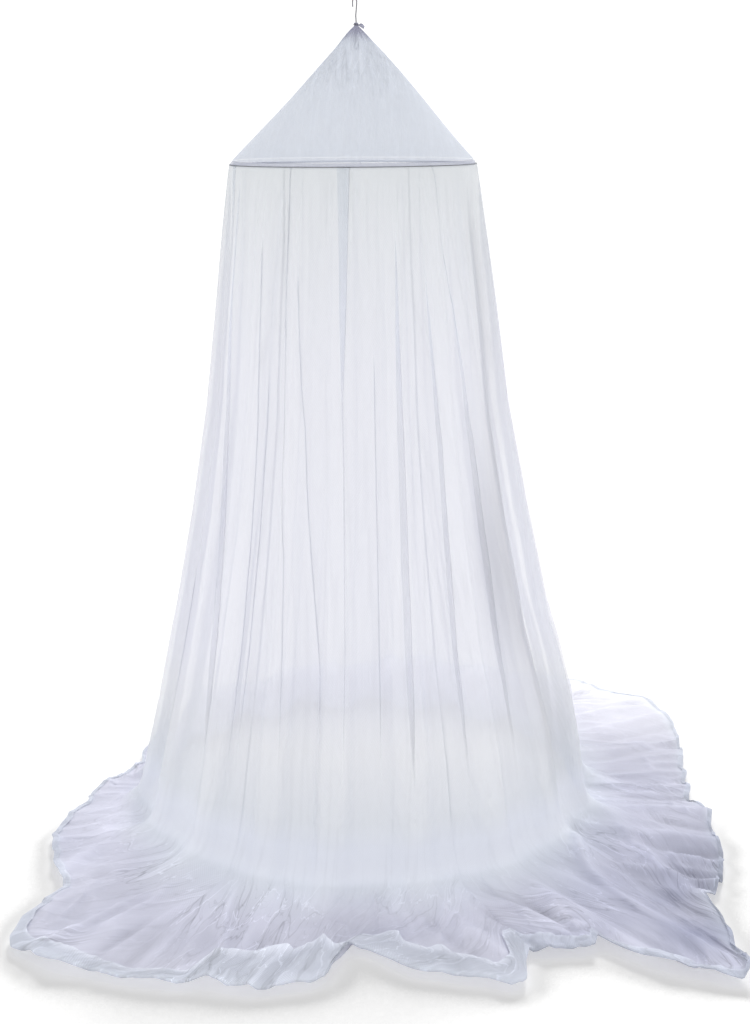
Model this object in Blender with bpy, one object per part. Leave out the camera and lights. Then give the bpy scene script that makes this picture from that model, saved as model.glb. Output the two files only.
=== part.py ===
# Mosquito net canopy, hanging from its hook with the hem spread on the floor.
# Metres, +Z up, front towards -Y. The origin is where the hook hangs: the inner top of its bend.
import bpy
import bmesh
import math
import numpy as np

HANG_HEIGHT = 2.038          # floor to the inner top of the hook's bend
AXIS_X = -0.005              # hoop and net axis, beside the hanging point
HOOP_HEIGHT = 1.655          # floor to the hoop's centreline
HOOP_RADIUS = 0.2955         # centreline
HOOP_ROD_RADIUS = 0.0025
HOOP_TILT = 0.006            # rise per metre towards +X
RING_SEGMENTS = 72
CLEARANCE = 0.0003
SLEEVE_WALL = 0.0012
SLEEVE_RISE = 0.0095         # how far the sleeve's legs stand above the hoop's centreline
NET_THICKNESS = 0.0016
SEAM_GAP = 0.0006
STEPS_PER_FOLD = 6
FOLDS_PER_PANEL = 3
APEX_HEIGHT = 1.972
APEX_X = 0.0035
NECK_RADIUS = 0.0044         # gathered cap cloth round the wire, mid surface
CAP_THICKNESS = 0.0012
CAP_STEPS = 60
CAP_PLEATS = 15
WIRE_RADIUS = 0.0016
BEND_RADIUS = 0.0049         # hook bend, centreline
SPREAD = 0.045               # makes the folds' crests and valleys broad and their flanks steep

# one row per fold: crest angle at the hoop, at the foot and at the hem, valley angle after it at the hem, depth factor
# (degrees from the front towards +X)
FOLDS = [
    (-22.0, -21.0, -18.5, -14.5, 0.80),
    (-4.0, -5.0, -9.5, -2.0, 0.70),
    (15.0, 15.0, 14.0, 24.5, 0.95),
    (35.0, 35.0, 31.0, 36.7, 0.85),
    (55.0, 57.0, 42.0, 52.5, 1.25),
    (76.0, 77.0, 60.5, 70.0, 1.10),
    (99.0, 97.0, 80.0, 89.0, 1.05),
    (118.0, 115.0, 101.0, 111.0, 0.90),
    (136.0, 134.0, 122.0, 133.0, 1.15),
    (156.0, 154.0, 143.0, 155.0, 1.00),
    (177.0, 176.0, 167.0, 179.0, 0.90),
    (196.0, 196.0, 190.0, 201.0, 1.10),
    (216.0, 216.0, 212.0, 223.0, 0.85),
    (237.0, 237.0, 234.0, 245.0, 1.00),
    (258.0, 258.0, 256.0, 265.0, 1.10),
    (279.0, 278.0, 274.0, 284.0, 1.15),
    (300.0, 299.0, 295.0, 308.0, 0.90),
    (320.0, 320.0, 318.5, 331.0, 1.05),
]

# height above the floor, crest radius towards -X, crest radius towards +X
PROFILE = [
    (1.700, 0.3015, 0.3015),
    (1.655, 0.3015, 0.3015),
    (1.520, 0.3220, 0.3200),
    (1.320, 0.3440, 0.3520),
    (1.070, 0.3740, 0.3880),
    (0.810, 0.4180, 0.4430),
    (0.545, 0.4760, 0.5100),
    (0.300, 0.5350, 0.6000),
    (0.090, 0.5850, 0.6500),
    (0.000, 0.6050, 0.6700),
]

# hanging rows: height of the valley, fold depth outwards, extra height of the crest
HANGING_ROWS = [
    (1.661, 0.0000, 0.000),
    (1.636, 0.0020, 0.000),
    (1.500, 0.0240, 0.000),
    (1.250, 0.0450, 0.000),
    (0.950, 0.0620, 0.000),
    (0.650, 0.0720, 0.000),
    (0.380, 0.0850, 0.000),
    (0.170, 0.0900, 0.010),
    (0.045, 0.0720, 0.034),
]

# rows on the floor: share of the way to the hem, fold depth outwards, ridge height, share of the hem's roll
FLOOR_ROWS = [
    (0.08, 0.050, 0.056, 0.00),
    (0.22, 0.028, 0.043, 0.00),
    (0.40, 0.012, 0.034, 0.00),
    (0.58, 0.000, 0.028, 0.10),
    (0.74, 0.000, 0.024, 0.55),
    (0.87, 0.000, 0.019, 1.00),
    (0.95, 0.000, 0.014, 0.80),
    (1.00, 0.000, 0.008, 0.15),
]

# outline of the hem on the floor: angle, reach from the axis, height of the roll behind the edge
HEM = [
    (-30.0, 1.080, 0.016),
    (-25.0, 1.068, 0.022),
    (-18.5, 1.035, 0.024),
    (-16.3, 1.002, 0.018),
    (-13.6, 1.036, 0.022),
    (-7.6, 1.014, 0.030),
    (-4.3, 0.995, 0.034),
    (-2.0, 0.810, 0.004),
    (3.5, 0.864, 0.024),
    (8.2, 0.950, 0.030),
    (12.5, 0.985, 0.030),
    (17.5, 1.038, 0.026),
    (20.0, 1.040, 0.020),
    (24.5, 0.910, 0.006),
    (29.0, 0.955, 0.016),
    (33.0, 0.985, 0.020),
    (36.7, 0.950, 0.010),
    (39.0, 1.160, 0.022),
    (41.8, 1.255, 0.034),
    (44.0, 1.210, 0.030),
    (48.5, 1.115, 0.016),
    (52.6, 0.984, 0.008),
    (58.7, 1.014, 0.016),
    (62.5, 0.980, 0.010),
    (67.6, 0.994, 0.018),
    (76.0, 0.935, 0.010),
    (80.4, 0.952, 0.016),
    (88.7, 0.889, 0.008),
    (94.5, 0.921, 0.012),
    (104.6, 0.958, 0.018),
    (119.0, 1.138, 0.020),
    (129.8, 1.243, 0.024),
    (137.0, 1.180, 0.012),
    (141.0, 1.270, 0.020),
    (150.0, 1.130, 0.018),
    (160.0, 1.060, 0.010),
    (170.0, 1.110, 0.020),
    (181.0, 1.010, 0.008),
    (190.0, 1.030, 0.018),
    (202.0, 0.900, 0.008),
    (212.0, 0.930, 0.020),
    (224.0, 0.770, 0.010),
    (236.0, 0.720, 0.014),
    (252.0, 0.655, 0.004),
    (260.0, 0.700, 0.010),
    (268.0, 0.722, 0.014),
    (274.0, 0.709, 0.008),
    (282.0, 0.768, 0.014),
    (290.0, 0.825, 0.020),
    (298.0, 0.850, 0.016),
    (307.5, 0.860, 0.006),
    (311.0, 0.965, 0.020),
    (315.0, 1.090, 0.030),
    (319.0, 1.112, 0.030),
    (326.0, 1.108, 0.022),
    (330.0, 1.080, 0.016),
]


def clear_scene():
    for obj in list(bpy.data.objects):
        bpy.data.objects.remove(obj, do_unlink=True)
    for mesh in list(bpy.data.meshes):
        bpy.data.meshes.remove(mesh)


def material(name, color, metallic, roughness):
    mat = bpy.data.materials.new(name)
    mat.use_nodes = True
    bsdf = mat.node_tree.nodes["Principled BSDF"]
    bsdf.inputs["Base Color"].default_value = (color[0], color[1], color[2], 1.0)
    bsdf.inputs["Metallic"].default_value = metallic
    bsdf.inputs["Roughness"].default_value = roughness
    return mat


def add_object(name, mesh, mat, collection):
    obj = bpy.data.objects.new(name, mesh)
    collection.objects.link(obj)
    mesh.materials.append(mat)
    return obj


def place(x, y, z):
    """Point of the net from the hoop's axis and the floor to the row frame, with the hoop's small tilt."""
    share = min(1.0, max(0.0, (z - 0.9) / (HOOP_HEIGHT - 0.9)))
    if z > HOOP_HEIGHT + 0.02:
        share = max(0.0, 1.0 - (z - HOOP_HEIGHT - 0.02) / 0.26)
    return (x + AXIS_X, y, z + HOOP_TILT * x * share - HANG_HEIGHT)


def knots(column):
    """Angles at whole and half folds, in radians, running once round and closing on itself."""
    count = len(FOLDS)
    table = []
    for i in range(-2, count + 3):
        turn = 360.0 * (i // count)
        row = FOLDS[i % count]
        after = FOLDS[(i + 1) % count]
        after_turn = 360.0 * ((i + 1) // count)
        table.append((float(i), row[column] + turn))
        if column == 2:
            table.append((i + 0.5, row[3] + turn))
        else:
            table.append((i + 0.5, 0.5 * (row[column] + turn + after[column] + after_turn)))
    xs = np.array([t[0] for t in table])
    ys = np.radians(np.array([t[1] for t in table]))
    return xs, ys


HOOP_ANGLES = knots(0)
FOOT_ANGLES = knots(1)
HEM_ANGLES = knots(2)


def depth_factor(phase):
    count = len(FOLDS)
    xs = np.arange(-2, count + 3)
    ys = np.array([FOLDS[i % count][4] for i in xs])
    return float(np.interp(phase, xs, ys))


def crest_radius(theta, height):
    heights = [row[0] for row in reversed(PROFILE)]
    left = float(np.interp(height, heights, [row[1] for row in reversed(PROFILE)]))
    right = float(np.interp(height, heights, [row[2] for row in reversed(PROFILE)]))
    return 0.5 * (left + right) + 0.5 * (right - left) * math.sin(theta)


def hem_value(theta, column):
    degrees = (math.degrees(theta) + 30.0) % 360.0 - 30.0
    return float(np.interp(degrees, [row[0] for row in HEM], [row[column] for row in HEM]))


def wave(phase):
    """1 on a crest, 0 in a valley."""
    return 0.5 + 0.5 * math.cos(2.0 * math.pi * phase)


def net_point(phase, row):
    """A point of the net's mid surface for a place round the net and a row number counted from the hoop."""
    spread_phase = phase + SPREAD * math.sin(4.0 * math.pi * phase) * min(1.0, row / 4.0)
    height = wave(phase)
    factor = depth_factor(phase)
    hanging = len(HANGING_ROWS)
    foot_share = min(1.0, row / (hanging - 1.0))
    hoop_angle = float(np.interp(spread_phase, *HOOP_ANGLES))
    foot_angle = float(np.interp(spread_phase, *FOOT_ANGLES))
    if row < hanging:
        base, depth, lift = HANGING_ROWS[row]
        theta = hoop_angle + (foot_angle - hoop_angle) * foot_share ** 2
        radius = crest_radius(theta, base) + depth * factor * (height - 1.0)
        z = base + lift * factor * height
    else:
        share, depth, ridge, roll_share = FLOOR_ROWS[row - hanging]
        hem_angle = float(np.interp(phase, *HEM_ANGLES))
        theta = foot_angle + (hem_angle - foot_angle) * share ** 1.2
        foot = crest_radius(theta, 0.0)
        reach = hem_value(theta, 1)
        radius = foot + (reach - foot) * share + depth * factor * (height - 1.0)
        roll = hem_value(theta, 2) * roll_share
        z = 0.5 * NET_THICKNESS + max(0.0, ridge * factor * height ** 1.5 + roll - 0.004)
    return radius * math.sin(theta), -radius * math.cos(theta), z


def grid_normals(points, closed):
    """Unit normals of a grid of points from its neighbours; closed grids run round along their columns."""
    p = np.array(points)
    if closed:
        along = np.roll(p, -1, axis=1) - np.roll(p, 1, axis=1)
    else:
        along = np.gradient(p, axis=1)
    down = np.gradient(p, axis=0)
    n = np.cross(down, along)
    return p, n / np.linalg.norm(n, axis=2, keepdims=True)


def sheet_object(name, p, n, thickness, mat, collection, closed=False, gap=0.0):
    """A closed sheet of even thickness: two skins half the thickness to either side, and rims along its edges."""
    rows, cols = p.shape[0], p.shape[1]
    if gap > 0.0:
        p = p.copy()
        for end, inner in ((0, 1), (cols - 1, cols - 2)):
            direction = p[:, inner] - p[:, end]
            p[:, end] += direction / np.linalg.norm(direction, axis=1, keepdims=True) * 0.5 * gap
    bm = bmesh.new()
    skins = [[[bm.verts.new(p[r, c] + side * 0.5 * thickness * n[r, c]) for c in range(cols)] for r in range(rows)]
             for side in (1.0, -1.0)]
    out, back = skins
    spans = cols if closed else cols - 1
    for c in range(spans):
        d = (c + 1) % cols
        for r in range(rows - 1):
            bm.faces.new((out[r][c], out[r + 1][c], out[r + 1][d], out[r][d]))
            bm.faces.new((back[r][c], back[r][d], back[r + 1][d], back[r + 1][c]))
        bm.faces.new((out[0][d], back[0][d], back[0][c], out[0][c]))
        bm.faces.new((out[-1][c], back[-1][c], back[-1][d], out[-1][d]))
    if not closed:
        for r in range(rows - 1):
            bm.faces.new((out[r][0], back[r][0], back[r + 1][0], out[r + 1][0]))
            bm.faces.new((out[r + 1][-1], back[r + 1][-1], back[r][-1], out[r][-1]))
    bmesh.ops.recalc_face_normals(bm, faces=bm.faces)
    mesh = bpy.data.meshes.new(name)
    bm.to_mesh(mesh)
    bm.free()
    return add_object(name, mesh, mat, collection)


def net_panels(mat, collection):
    names = ("net_front", "net_right_front", "net_right_back", "net_back", "net_left_back", "net_left_front")
    steps = FOLDS_PER_PANEL * STEPS_PER_FOLD
    total = len(FOLDS) * STEPS_PER_FOLD
    points = [[place(*net_point(i / STEPS_PER_FOLD - 0.5, row)) for i in range(total)]
              for row in range(len(HANGING_ROWS) + len(FLOOR_ROWS))]
    p, n = grid_normals(points, True)
    for panel, name in enumerate(names):
        picked = [i % total for i in range(panel * steps, (panel + 1) * steps + 1)]
        sheet_object(name, p[:, picked], n[:, picked], NET_THICKNESS, mat, collection, gap=SEAM_GAP)


def hoop(mat, collection):
    bpy.ops.mesh.primitive_torus_add(major_radius=HOOP_RADIUS, minor_radius=HOOP_ROD_RADIUS,
                                     major_segments=RING_SEGMENTS, minor_segments=8)
    obj = bpy.context.active_object
    obj.name = "hoop"
    obj.data.name = "hoop"
    for vert in obj.data.vertices:
        x, y, z = vert.co
        vert.co = place(x, y, z + HOOP_HEIGHT)
    for owner in list(obj.users_collection):
        owner.objects.unlink(obj)
    collection.objects.link(obj)
    obj.data.materials.append(mat)


def sleeve(mat, collection):
    """The cloth band round the hoop: a channel folded up on both sides of the rod, open above it."""
    inner = HOOP_ROD_RADIUS + CLEARANCE
    outer = inner + SLEEVE_WALL
    section = [(outer, SLEEVE_RISE), (outer, -0.4 * outer), (0.4 * outer, -outer), (-0.4 * outer, -outer),
               (-outer, -0.4 * outer), (-outer, SLEEVE_RISE), (-inner, SLEEVE_RISE), (-inner, -0.35 * inner),
               (-0.45 * inner, -inner), (0.45 * inner, -inner), (inner, -0.35 * inner), (inner, SLEEVE_RISE)]
    bm = bmesh.new()
    loops = []
    for i in range(RING_SEGMENTS):
        angle = 2.0 * math.pi * i / RING_SEGMENTS
        loops.append([bm.verts.new(place((HOOP_RADIUS + a) * math.cos(angle), (HOOP_RADIUS + a) * math.sin(angle),
                                         HOOP_HEIGHT + b)) for a, b in section])
    for i in range(RING_SEGMENTS):
        this, after = loops[i], loops[(i + 1) % RING_SEGMENTS]
        for j in range(len(section)):
            k = (j + 1) % len(section)
            bm.faces.new((this[j], this[k], after[k], after[j]))
    bmesh.ops.recalc_face_normals(bm, faces=bm.faces)
    mesh = bpy.data.meshes.new("hoop_sleeve")
    bm.to_mesh(mesh)
    bm.free()
    add_object("hoop_sleeve", mesh, mat, collection)


def cap(mat, collection):
    """The cone over the hoop, gathered into a neck round the hook's wire."""
    top = APEX_HEIGHT
    base_z = HOOP_HEIGHT + SLEEVE_RISE + CLEARANCE + 0.0014
    base_r = HOOP_RADIUS + HOOP_ROD_RADIUS + CLEARANCE + 0.5 * SLEEVE_WALL
    rows = [(base_r, base_z, 0.0), (0.215, None, 0.0020), (0.130, None, 0.0040), (0.060, None, 0.0050),
            (0.022, None, 0.0028), (NECK_RADIUS + 0.0006, top - 0.002, 0.0), (NECK_RADIUS, top + 0.010, 0.0)]
    points = []
    for radius, height, pleat in rows:
        if height is None:
            height = base_z + (top - 0.004 - base_z) * (base_r - radius) / (base_r - NECK_RADIUS)
        share = max(0.0, (height - base_z) / (top - base_z))
        line = []
        for i in range(CAP_STEPS):
            angle = 2.0 * math.pi * i / CAP_STEPS
            r = radius + pleat * math.cos(CAP_PLEATS * angle)
            x, y, z = place(r * math.sin(angle), -r * math.cos(angle), height)
            line.append((x + (APEX_X - AXIS_X) * min(1.0, share), y, z))
        points.append(line)
    sheet_object("cap", *grid_normals(points, True), CAP_THICKNESS, mat, collection, closed=True)


def tie(mat, collection):
    """The thread bound round the neck."""
    minor = 0.0011
    major = NECK_RADIUS + 0.5 * CAP_THICKNESS + CLEARANCE + minor + 0.0002
    bpy.ops.mesh.primitive_torus_add(major_radius=major, minor_radius=minor, major_segments=30, minor_segments=8)
    obj = bpy.context.active_object
    obj.name = "tie"
    obj.data.name = "tie"
    for vert in obj.data.vertices:
        x, y, z = vert.co
        vert.co = (x + APEX_X, y, z * 1.5 + APEX_HEIGHT + 0.0045 - HANG_HEIGHT)
    for owner in list(obj.users_collection):
        owner.objects.unlink(obj)
    collection.objects.link(obj)
    obj.data.materials.append(mat)


def tail(mat, collection):
    """The small end of cloth that stands out beside the neck."""
    rows = [(0.0092, 0.0015, 0.0030), (0.0120, 0.0022, 0.0050), (0.0155, 0.0020, 0.0068), (0.0195, 0.0002, 0.0076),
            (0.0230, -0.0030, 0.0066)]
    points = []
    for out, drop, half in rows:
        line = []
        for i in range(9):
            s = -1.0 + 0.25 * i
            line.append((APEX_X + out + 0.0010 * math.cos(2.0 * math.pi * s), half * s,
                         APEX_HEIGHT + 0.0045 + drop + 0.0012 * math.sin(2.0 * math.pi * s) - HANG_HEIGHT))
        points.append(line)
    sheet_object("neck_tail", *grid_normals(points, False), 0.001, mat, collection)


def wire_mesh(name, points, radius, sides):
    """A round wire along the points: one ring per point, square to the path, with flat ends."""
    pts = [np.array(p, dtype=float) for p in points]
    bm = bmesh.new()
    rings = []
    side = np.array((0.0, 1.0, 0.0))
    for i, p in enumerate(pts):
        before = pts[max(0, i - 1)]
        after = pts[min(len(pts) - 1, i + 1)]
        tangent = (after - before) / np.linalg.norm(after - before)
        across = side - tangent * float(side @ tangent)
        across /= np.linalg.norm(across)
        other = np.cross(tangent, across)
        rings.append([bm.verts.new(p + radius * (math.cos(a) * across + math.sin(a) * other))
                      for a in [2.0 * math.pi * k / sides for k in range(sides)]])
    for a, b in zip(rings, rings[1:]):
        for k in range(sides):
            m = (k + 1) % sides
            bm.faces.new((a[k], a[m], b[m], b[k]))
    bm.faces.new(rings[0])
    bm.faces.new(rings[-1])
    bmesh.ops.recalc_face_normals(bm, faces=bm.faces)
    mesh = bpy.data.meshes.new(name)
    bm.to_mesh(mesh)
    bm.free()
    return mesh


def build_hook(mat, collection):
    centre_z = WIRE_RADIUS - BEND_RADIUS
    apex = APEX_HEIGHT - HANG_HEIGHT
    eye_radius = 0.0056
    eye_z = apex - 0.040
    eye = [(APEX_X + eye_radius * math.sin(math.radians(a)), 0.0, eye_z + eye_radius * math.cos(math.radians(a)))
           for a in range(-320, -19, 20)]
    eye = eye[:-1]
    shank = [(APEX_X - 0.0006, 0.0, eye_z + eye_radius + 0.0045), (APEX_X, 0.0, eye_z + eye_radius + 0.012),
             (APEX_X, 0.0, apex + 0.014), (APEX_X - 0.0009, 0.0, apex + 0.030), (APEX_X + 0.0002, 0.0, apex + 0.042),
             (BEND_RADIUS, 0.0, centre_z - 0.006)]
    bend = [(BEND_RADIUS * math.cos(math.radians(a)), 0.0, centre_z + BEND_RADIUS * math.sin(math.radians(a)))
            for a in range(0, 181, 15)]
    drop = [(-BEND_RADIUS - 0.0001, 0.0, centre_z - 0.006), (-BEND_RADIUS + 0.0004, 0.0, centre_z - 0.013)]
    add_object("hook", wire_mesh("hook", eye + shank + bend + drop, WIRE_RADIUS, 12), mat, collection)


clear_scene()
canopy = bpy.data.collections.new("mosquito_net_canopy")
bpy.context.scene.collection.children.link(canopy)
net_cloth = material("net_cloth", (0.86, 0.87, 0.92), 0.0, 0.85)
band_cloth = material("band_cloth", (0.62, 0.61, 0.70), 0.0, 0.85)
thread = material("thread", (0.25, 0.25, 0.28), 0.0, 0.8)
steel = material("steel", (0.55, 0.55, 0.57), 1.0, 0.35)

net_panels(net_cloth, canopy)
cap(net_cloth, canopy)
sleeve(band_cloth, canopy)
hoop(steel, canopy)
build_hook(steel, canopy)
tie(thread, canopy)
tail(net_cloth, canopy)
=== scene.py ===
import bpy
import math
import time
import numpy as np
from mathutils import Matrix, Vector


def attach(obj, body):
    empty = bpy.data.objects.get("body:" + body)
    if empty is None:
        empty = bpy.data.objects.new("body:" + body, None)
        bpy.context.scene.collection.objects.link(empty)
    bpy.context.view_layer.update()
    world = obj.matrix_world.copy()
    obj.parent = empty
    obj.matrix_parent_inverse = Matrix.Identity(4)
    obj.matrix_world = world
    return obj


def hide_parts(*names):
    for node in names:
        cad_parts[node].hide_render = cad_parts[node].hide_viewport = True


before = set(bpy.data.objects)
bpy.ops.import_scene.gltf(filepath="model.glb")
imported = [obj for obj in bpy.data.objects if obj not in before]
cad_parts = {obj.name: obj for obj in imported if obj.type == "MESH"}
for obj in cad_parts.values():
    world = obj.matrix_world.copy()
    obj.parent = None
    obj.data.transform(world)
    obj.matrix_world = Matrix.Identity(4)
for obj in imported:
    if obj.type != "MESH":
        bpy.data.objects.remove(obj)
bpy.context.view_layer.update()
startedAt = time.time()


def say(text):
    print("canopy: %s (%.1f s)" % (text, time.time() - startedAt))


def clearSelection():
    if bpy.context.object and bpy.context.object.mode != "OBJECT":
        bpy.ops.object.mode_set(mode="OBJECT")
    bpy.ops.object.select_all(action="DESELECT")


def pickOnly(obj):
    clearSelection()
    obj.select_set(True)
    bpy.context.view_layer.objects.active = obj


def weld(obj, gap):
    pickOnly(obj)
    bpy.ops.object.mode_set(mode="EDIT")
    bpy.ops.mesh.select_all(action="SELECT")
    bpy.ops.mesh.remove_doubles(threshold=gap)
    bpy.ops.object.mode_set(mode="OBJECT")


def pointsOf(mesh):
    at = np.empty(len(mesh.vertices) * 3)
    mesh.vertices.foreach_get("co", at)
    return at.reshape(-1, 3)


def cornersOf(mesh):
    corner = np.empty(len(mesh.loops), dtype=np.int32)
    mesh.loops.foreach_get("vertex_index", corner)
    return corner


def makeGrid(name, rows, cols):
    # a flat grid, with the row and the column that each of its points is in
    clearSelection()
    bpy.ops.mesh.primitive_grid_add(x_subdivisions=cols - 1, y_subdivisions=rows - 1, size=1.0)
    grid = bpy.context.object
    grid.name = name
    grid.data.name = name
    at = pointsOf(grid.data)
    down = np.rint((0.5 - at[:, 1]) * (rows - 1)).astype(int)
    across = np.rint((at[:, 0] + 0.5) * (cols - 1)).astype(int)
    return grid, down, across


def standFor(piece, node):
    # every visible piece is on the one body
    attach(piece, "root")
    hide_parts(node)


# numbers from tables and soft steps
def column(rows, index):
    return np.array([row[index] for row in rows], dtype=float)


def fromRows(rows, at, index):
    return np.interp(at, column(rows, 0), column(rows, index))


def smooth(value, low, high):
    t = np.clip((value - low) / (high - low), 0, 1)
    return t * t * (3 - 2 * t)


def unit(vectors, spare=1e-9):
    return vectors / (np.linalg.norm(vectors, axis=-1, keepdims=True) + spare)


def hump(value, middle, half):
    return np.exp(-((value - middle) / half) ** 2)


def easedRows(values, at):
    # a smooth curve through one value to a row that doesn't overshoot
    values = np.asarray(values, dtype=float)
    steps = np.diff(values)
    slopes = np.zeros(len(values))
    same = steps[:-1] * steps[1:] > 0
    slopes[1:-1][same] = 2.0 * steps[:-1][same] * steps[1:][same] / (steps[:-1] + steps[1:])[same]
    slopes[0], slopes[-1] = steps[0], steps[-1]
    i = np.clip(np.floor(at).astype(int), 0, len(values) - 2)
    t = at - i
    a = (1 + 2 * t) * (1 - t) ** 2
    b = t * (1 - t) ** 2
    c = t * t * (3 - 2 * t)
    d = t * t * (t - 1)
    return a * values[i] + b * slopes[i] + c * values[i + 1] + d * slopes[i + 1]


def softNoise(x, y, z, seed):
    # a smooth random field from -1 to 1, one bump to a unit
    table = np.random.RandomState(seed).uniform(-1, 1, 8192)
    x, y, z = np.broadcast_arrays(x, y, z)
    ix, iy, iz = np.floor(x).astype(int), np.floor(y).astype(int), np.floor(z).astype(int)
    fx, fy, fz = x - ix, y - iy, z - iz
    fx, fy, fz = (f * f * f * (f * (f * 6 - 15) + 10) for f in (fx, fy, fz))
    total = 0
    for dx, wx in ((0, 1 - fx), (1, fx)):
        for dy, wy in ((0, 1 - fy), (1, fy)):
            for dz, wz in ((0, 1 - fz), (1, fz)):
                place = (ix + dx) * 733 + (iy + dy) * 1979 + (iz + dz) * 4057
                total = total + wx * wy * wz * table[place % 8192]
    return total


def ringNoise(angle, scale, depth, seed):
    # the same field round a ring, so that its ends meet
    return softNoise(np.cos(angle) * scale, np.sin(angle) * scale, depth, seed)


# nodes: a tree with its maker, and a socket that takes part in sums
class Shade:
    def __init__(self, owner):
        owner.use_nodes = True
        self.owner = owner
        self.tree = owner.node_tree
        self.tree.nodes.clear()

    def node(self, kind, settings=None, **sockets):
        made = self.tree.nodes.new(kind)
        for key, value in (settings or {}).items():
            setattr(made, key, value)
        for key, value in sockets.items():
            self.put(made, key, value)
        return made

    def put(self, made, key, value):
        numbered = key[0] == "i" and key[1:].isdigit()
        socket = made.inputs[int(key[1:]) if numbered else key.replace("_", " ")]
        if isinstance(value, (Wire, bpy.types.NodeSocket)):
            self.tree.links.new(getattr(value, "socket", value), socket)
        else:
            socket.default_value = value

    def wire(self, kind, settings=None, out=0, **sockets):
        return Wire(self, self.node(kind, settings, **sockets).outputs[out])

    def noise(self, spot, detail, roughness, distortion):
        return self.wire("ShaderNodeTexNoise", {"noise_dimensions": "2D"}, Vector=spot, Scale=1.0,
                         Detail=detail, Roughness=roughness, Distortion=distortion)

    def scaled(self, colour, strength):
        return self.wire("ShaderNodeVectorMath", {"operation": "SCALE"}, i0=colour, i3=strength)


class Wire:
    def __init__(self, shade, socket):
        self.shade = shade
        self.socket = socket

    def join(self, operation, *values):
        sockets = {"i%d" % place: value for place, value in enumerate(values)}
        return self.shade.wire("ShaderNodeMath", {"operation": operation}, **sockets)

    def __add__(self, other):
        return self.join("ADD", self, other)

    def __radd__(self, other):
        return self.join("ADD", other, self)

    def __sub__(self, other):
        return self.join("SUBTRACT", self, other)

    def __rsub__(self, other):
        return self.join("SUBTRACT", other, self)

    def __mul__(self, other):
        return self.join("MULTIPLY", self, other)

    def __rmul__(self, other):
        return self.join("MULTIPLY", other, self)

    def __pow__(self, other):
        return self.join("POWER", self, other)

    def cosine(self):
        return self.join("COSINE", self)

    def size(self):
        return self.join("ABSOLUTE", self)

    def atMost(self, high):
        return self.join("MINIMUM", self, high)

    def atLeast(self, low):
        return self.join("MAXIMUM", self, low)

    def fade(self, low, high):
        return self.shade.wire("ShaderNodeMapRange", {"interpolation_type": "SMOOTHSTEP"},
                               i0=self, i1=low, i2=high, i3=0.0, i4=1.0)


# the hanging place and the frame's sizes, in metres
canopySizes = {
    "hangHeight": 2.038,
    "axisX": -0.005,
    "hoopHeight": 1.655,
    "hoopRadius": 0.2955,
    "hoopTilt": 0.006,
    "tiltFrom": 0.9,
    "tiltRoom": 0.02,
    "tiltFade": 0.26,
    "apexHeight": 1.972,
    "apexX": 0.0035,
}

# view, floor and light
studio = {
    "distance": 4.0,
    "eyeHeight": 1.760,
    "pitch": 13.747,
    "lens": 56.36,
    "sensor": 36.0,
    "farEnd": 200.0,
    "aimOffset": 0.0536,
    "floorSize": 60.0,
    "floorColour": (0.975, 0.972, 0.965),
    "floorRoughness": 0.9,
    "shadeFront": (-0.35, -0.05),
    "shadeReach": 0.30,
    "shadeSamples": 16,
    "shadeRamp": (0.003, 0.055),
    "shadeDepth": 0.37,
    "shadeLift": 0.80,
    "shadeEven": 0.36,
    "shadeGlow": 0.60,
    "skyLight": 1.00,
    "skySeen": 1.16,
    "sunPower": 1.35,
    "sunElevation": 36.0,
    "sunSideways": -0.15,
    "sunAngle": 16.0,
    "bounces": 6,
    "clearBounces": 96,
}


def linkNew(name, data):
    made = bpy.data.objects.new(name, data)
    bpy.context.scene.collection.objects.link(made)
    return made


def setCamera():
    lens = bpy.data.cameras.new("viewCamera")
    lens.sensor_width = studio["sensor"]
    lens.lens = studio["lens"]
    lens.clip_end = studio["farEnd"]
    camera = linkNew("viewCamera", lens)
    camera.location = (canopySizes["axisX"] + studio["aimOffset"], -studio["distance"],
                       studio["eyeHeight"] - canopySizes["hangHeight"])
    camera.rotation_euler = (math.radians(90.0 - studio["pitch"]), 0.0, 0.0)
    bpy.context.scene.camera = camera


def floorPaper():
    # white paper, with a painted shadow that gathers close in front of the hem: an occlusion node darkens
    # its colour, and lifts it again where the real shade under the hem is deep
    paper = Shade(bpy.data.materials.new("floorPaper"))
    spot = paper.node("ShaderNodeTexCoord").outputs["Object"]
    front = 1.0 - paper.wire("ShaderNodeSeparateXYZ", out=1, Vector=spot).fade(*studio["shadeFront"])
    closed = 1.0 - paper.wire("ShaderNodeAmbientOcclusion", {"samples": studio["shadeSamples"]}, out="AO",
                              Distance=studio["shadeReach"])
    lift, even = studio["shadeLift"], studio["shadeEven"]
    paintedContactShadow = closed.fade(*studio["shadeRamp"]) * studio["shadeDepth"]
    shade = 1.0 - (paintedContactShadow - closed.atMost(even) * lift) * front
    # a painted glow, from emission, where the net lies close over the floor, standing for light through the
    # net
    paintedGlow = (closed - even).atLeast(0.0) * front * studio["shadeGlow"]
    colour, paintedGlowColour = (paper.scaled(studio["floorColour"], strength) for strength in (shade, paintedGlow))
    bsdf = paper.node("ShaderNodeBsdfPrincipled", Base_Color=colour, Emission_Color=paintedGlowColour,
                      Emission_Strength=1.0, Roughness=studio["floorRoughness"], Specular_IOR_Level=0.0)
    paper.node("ShaderNodeOutputMaterial", Surface=bsdf.outputs[0])
    return paper.owner


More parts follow.
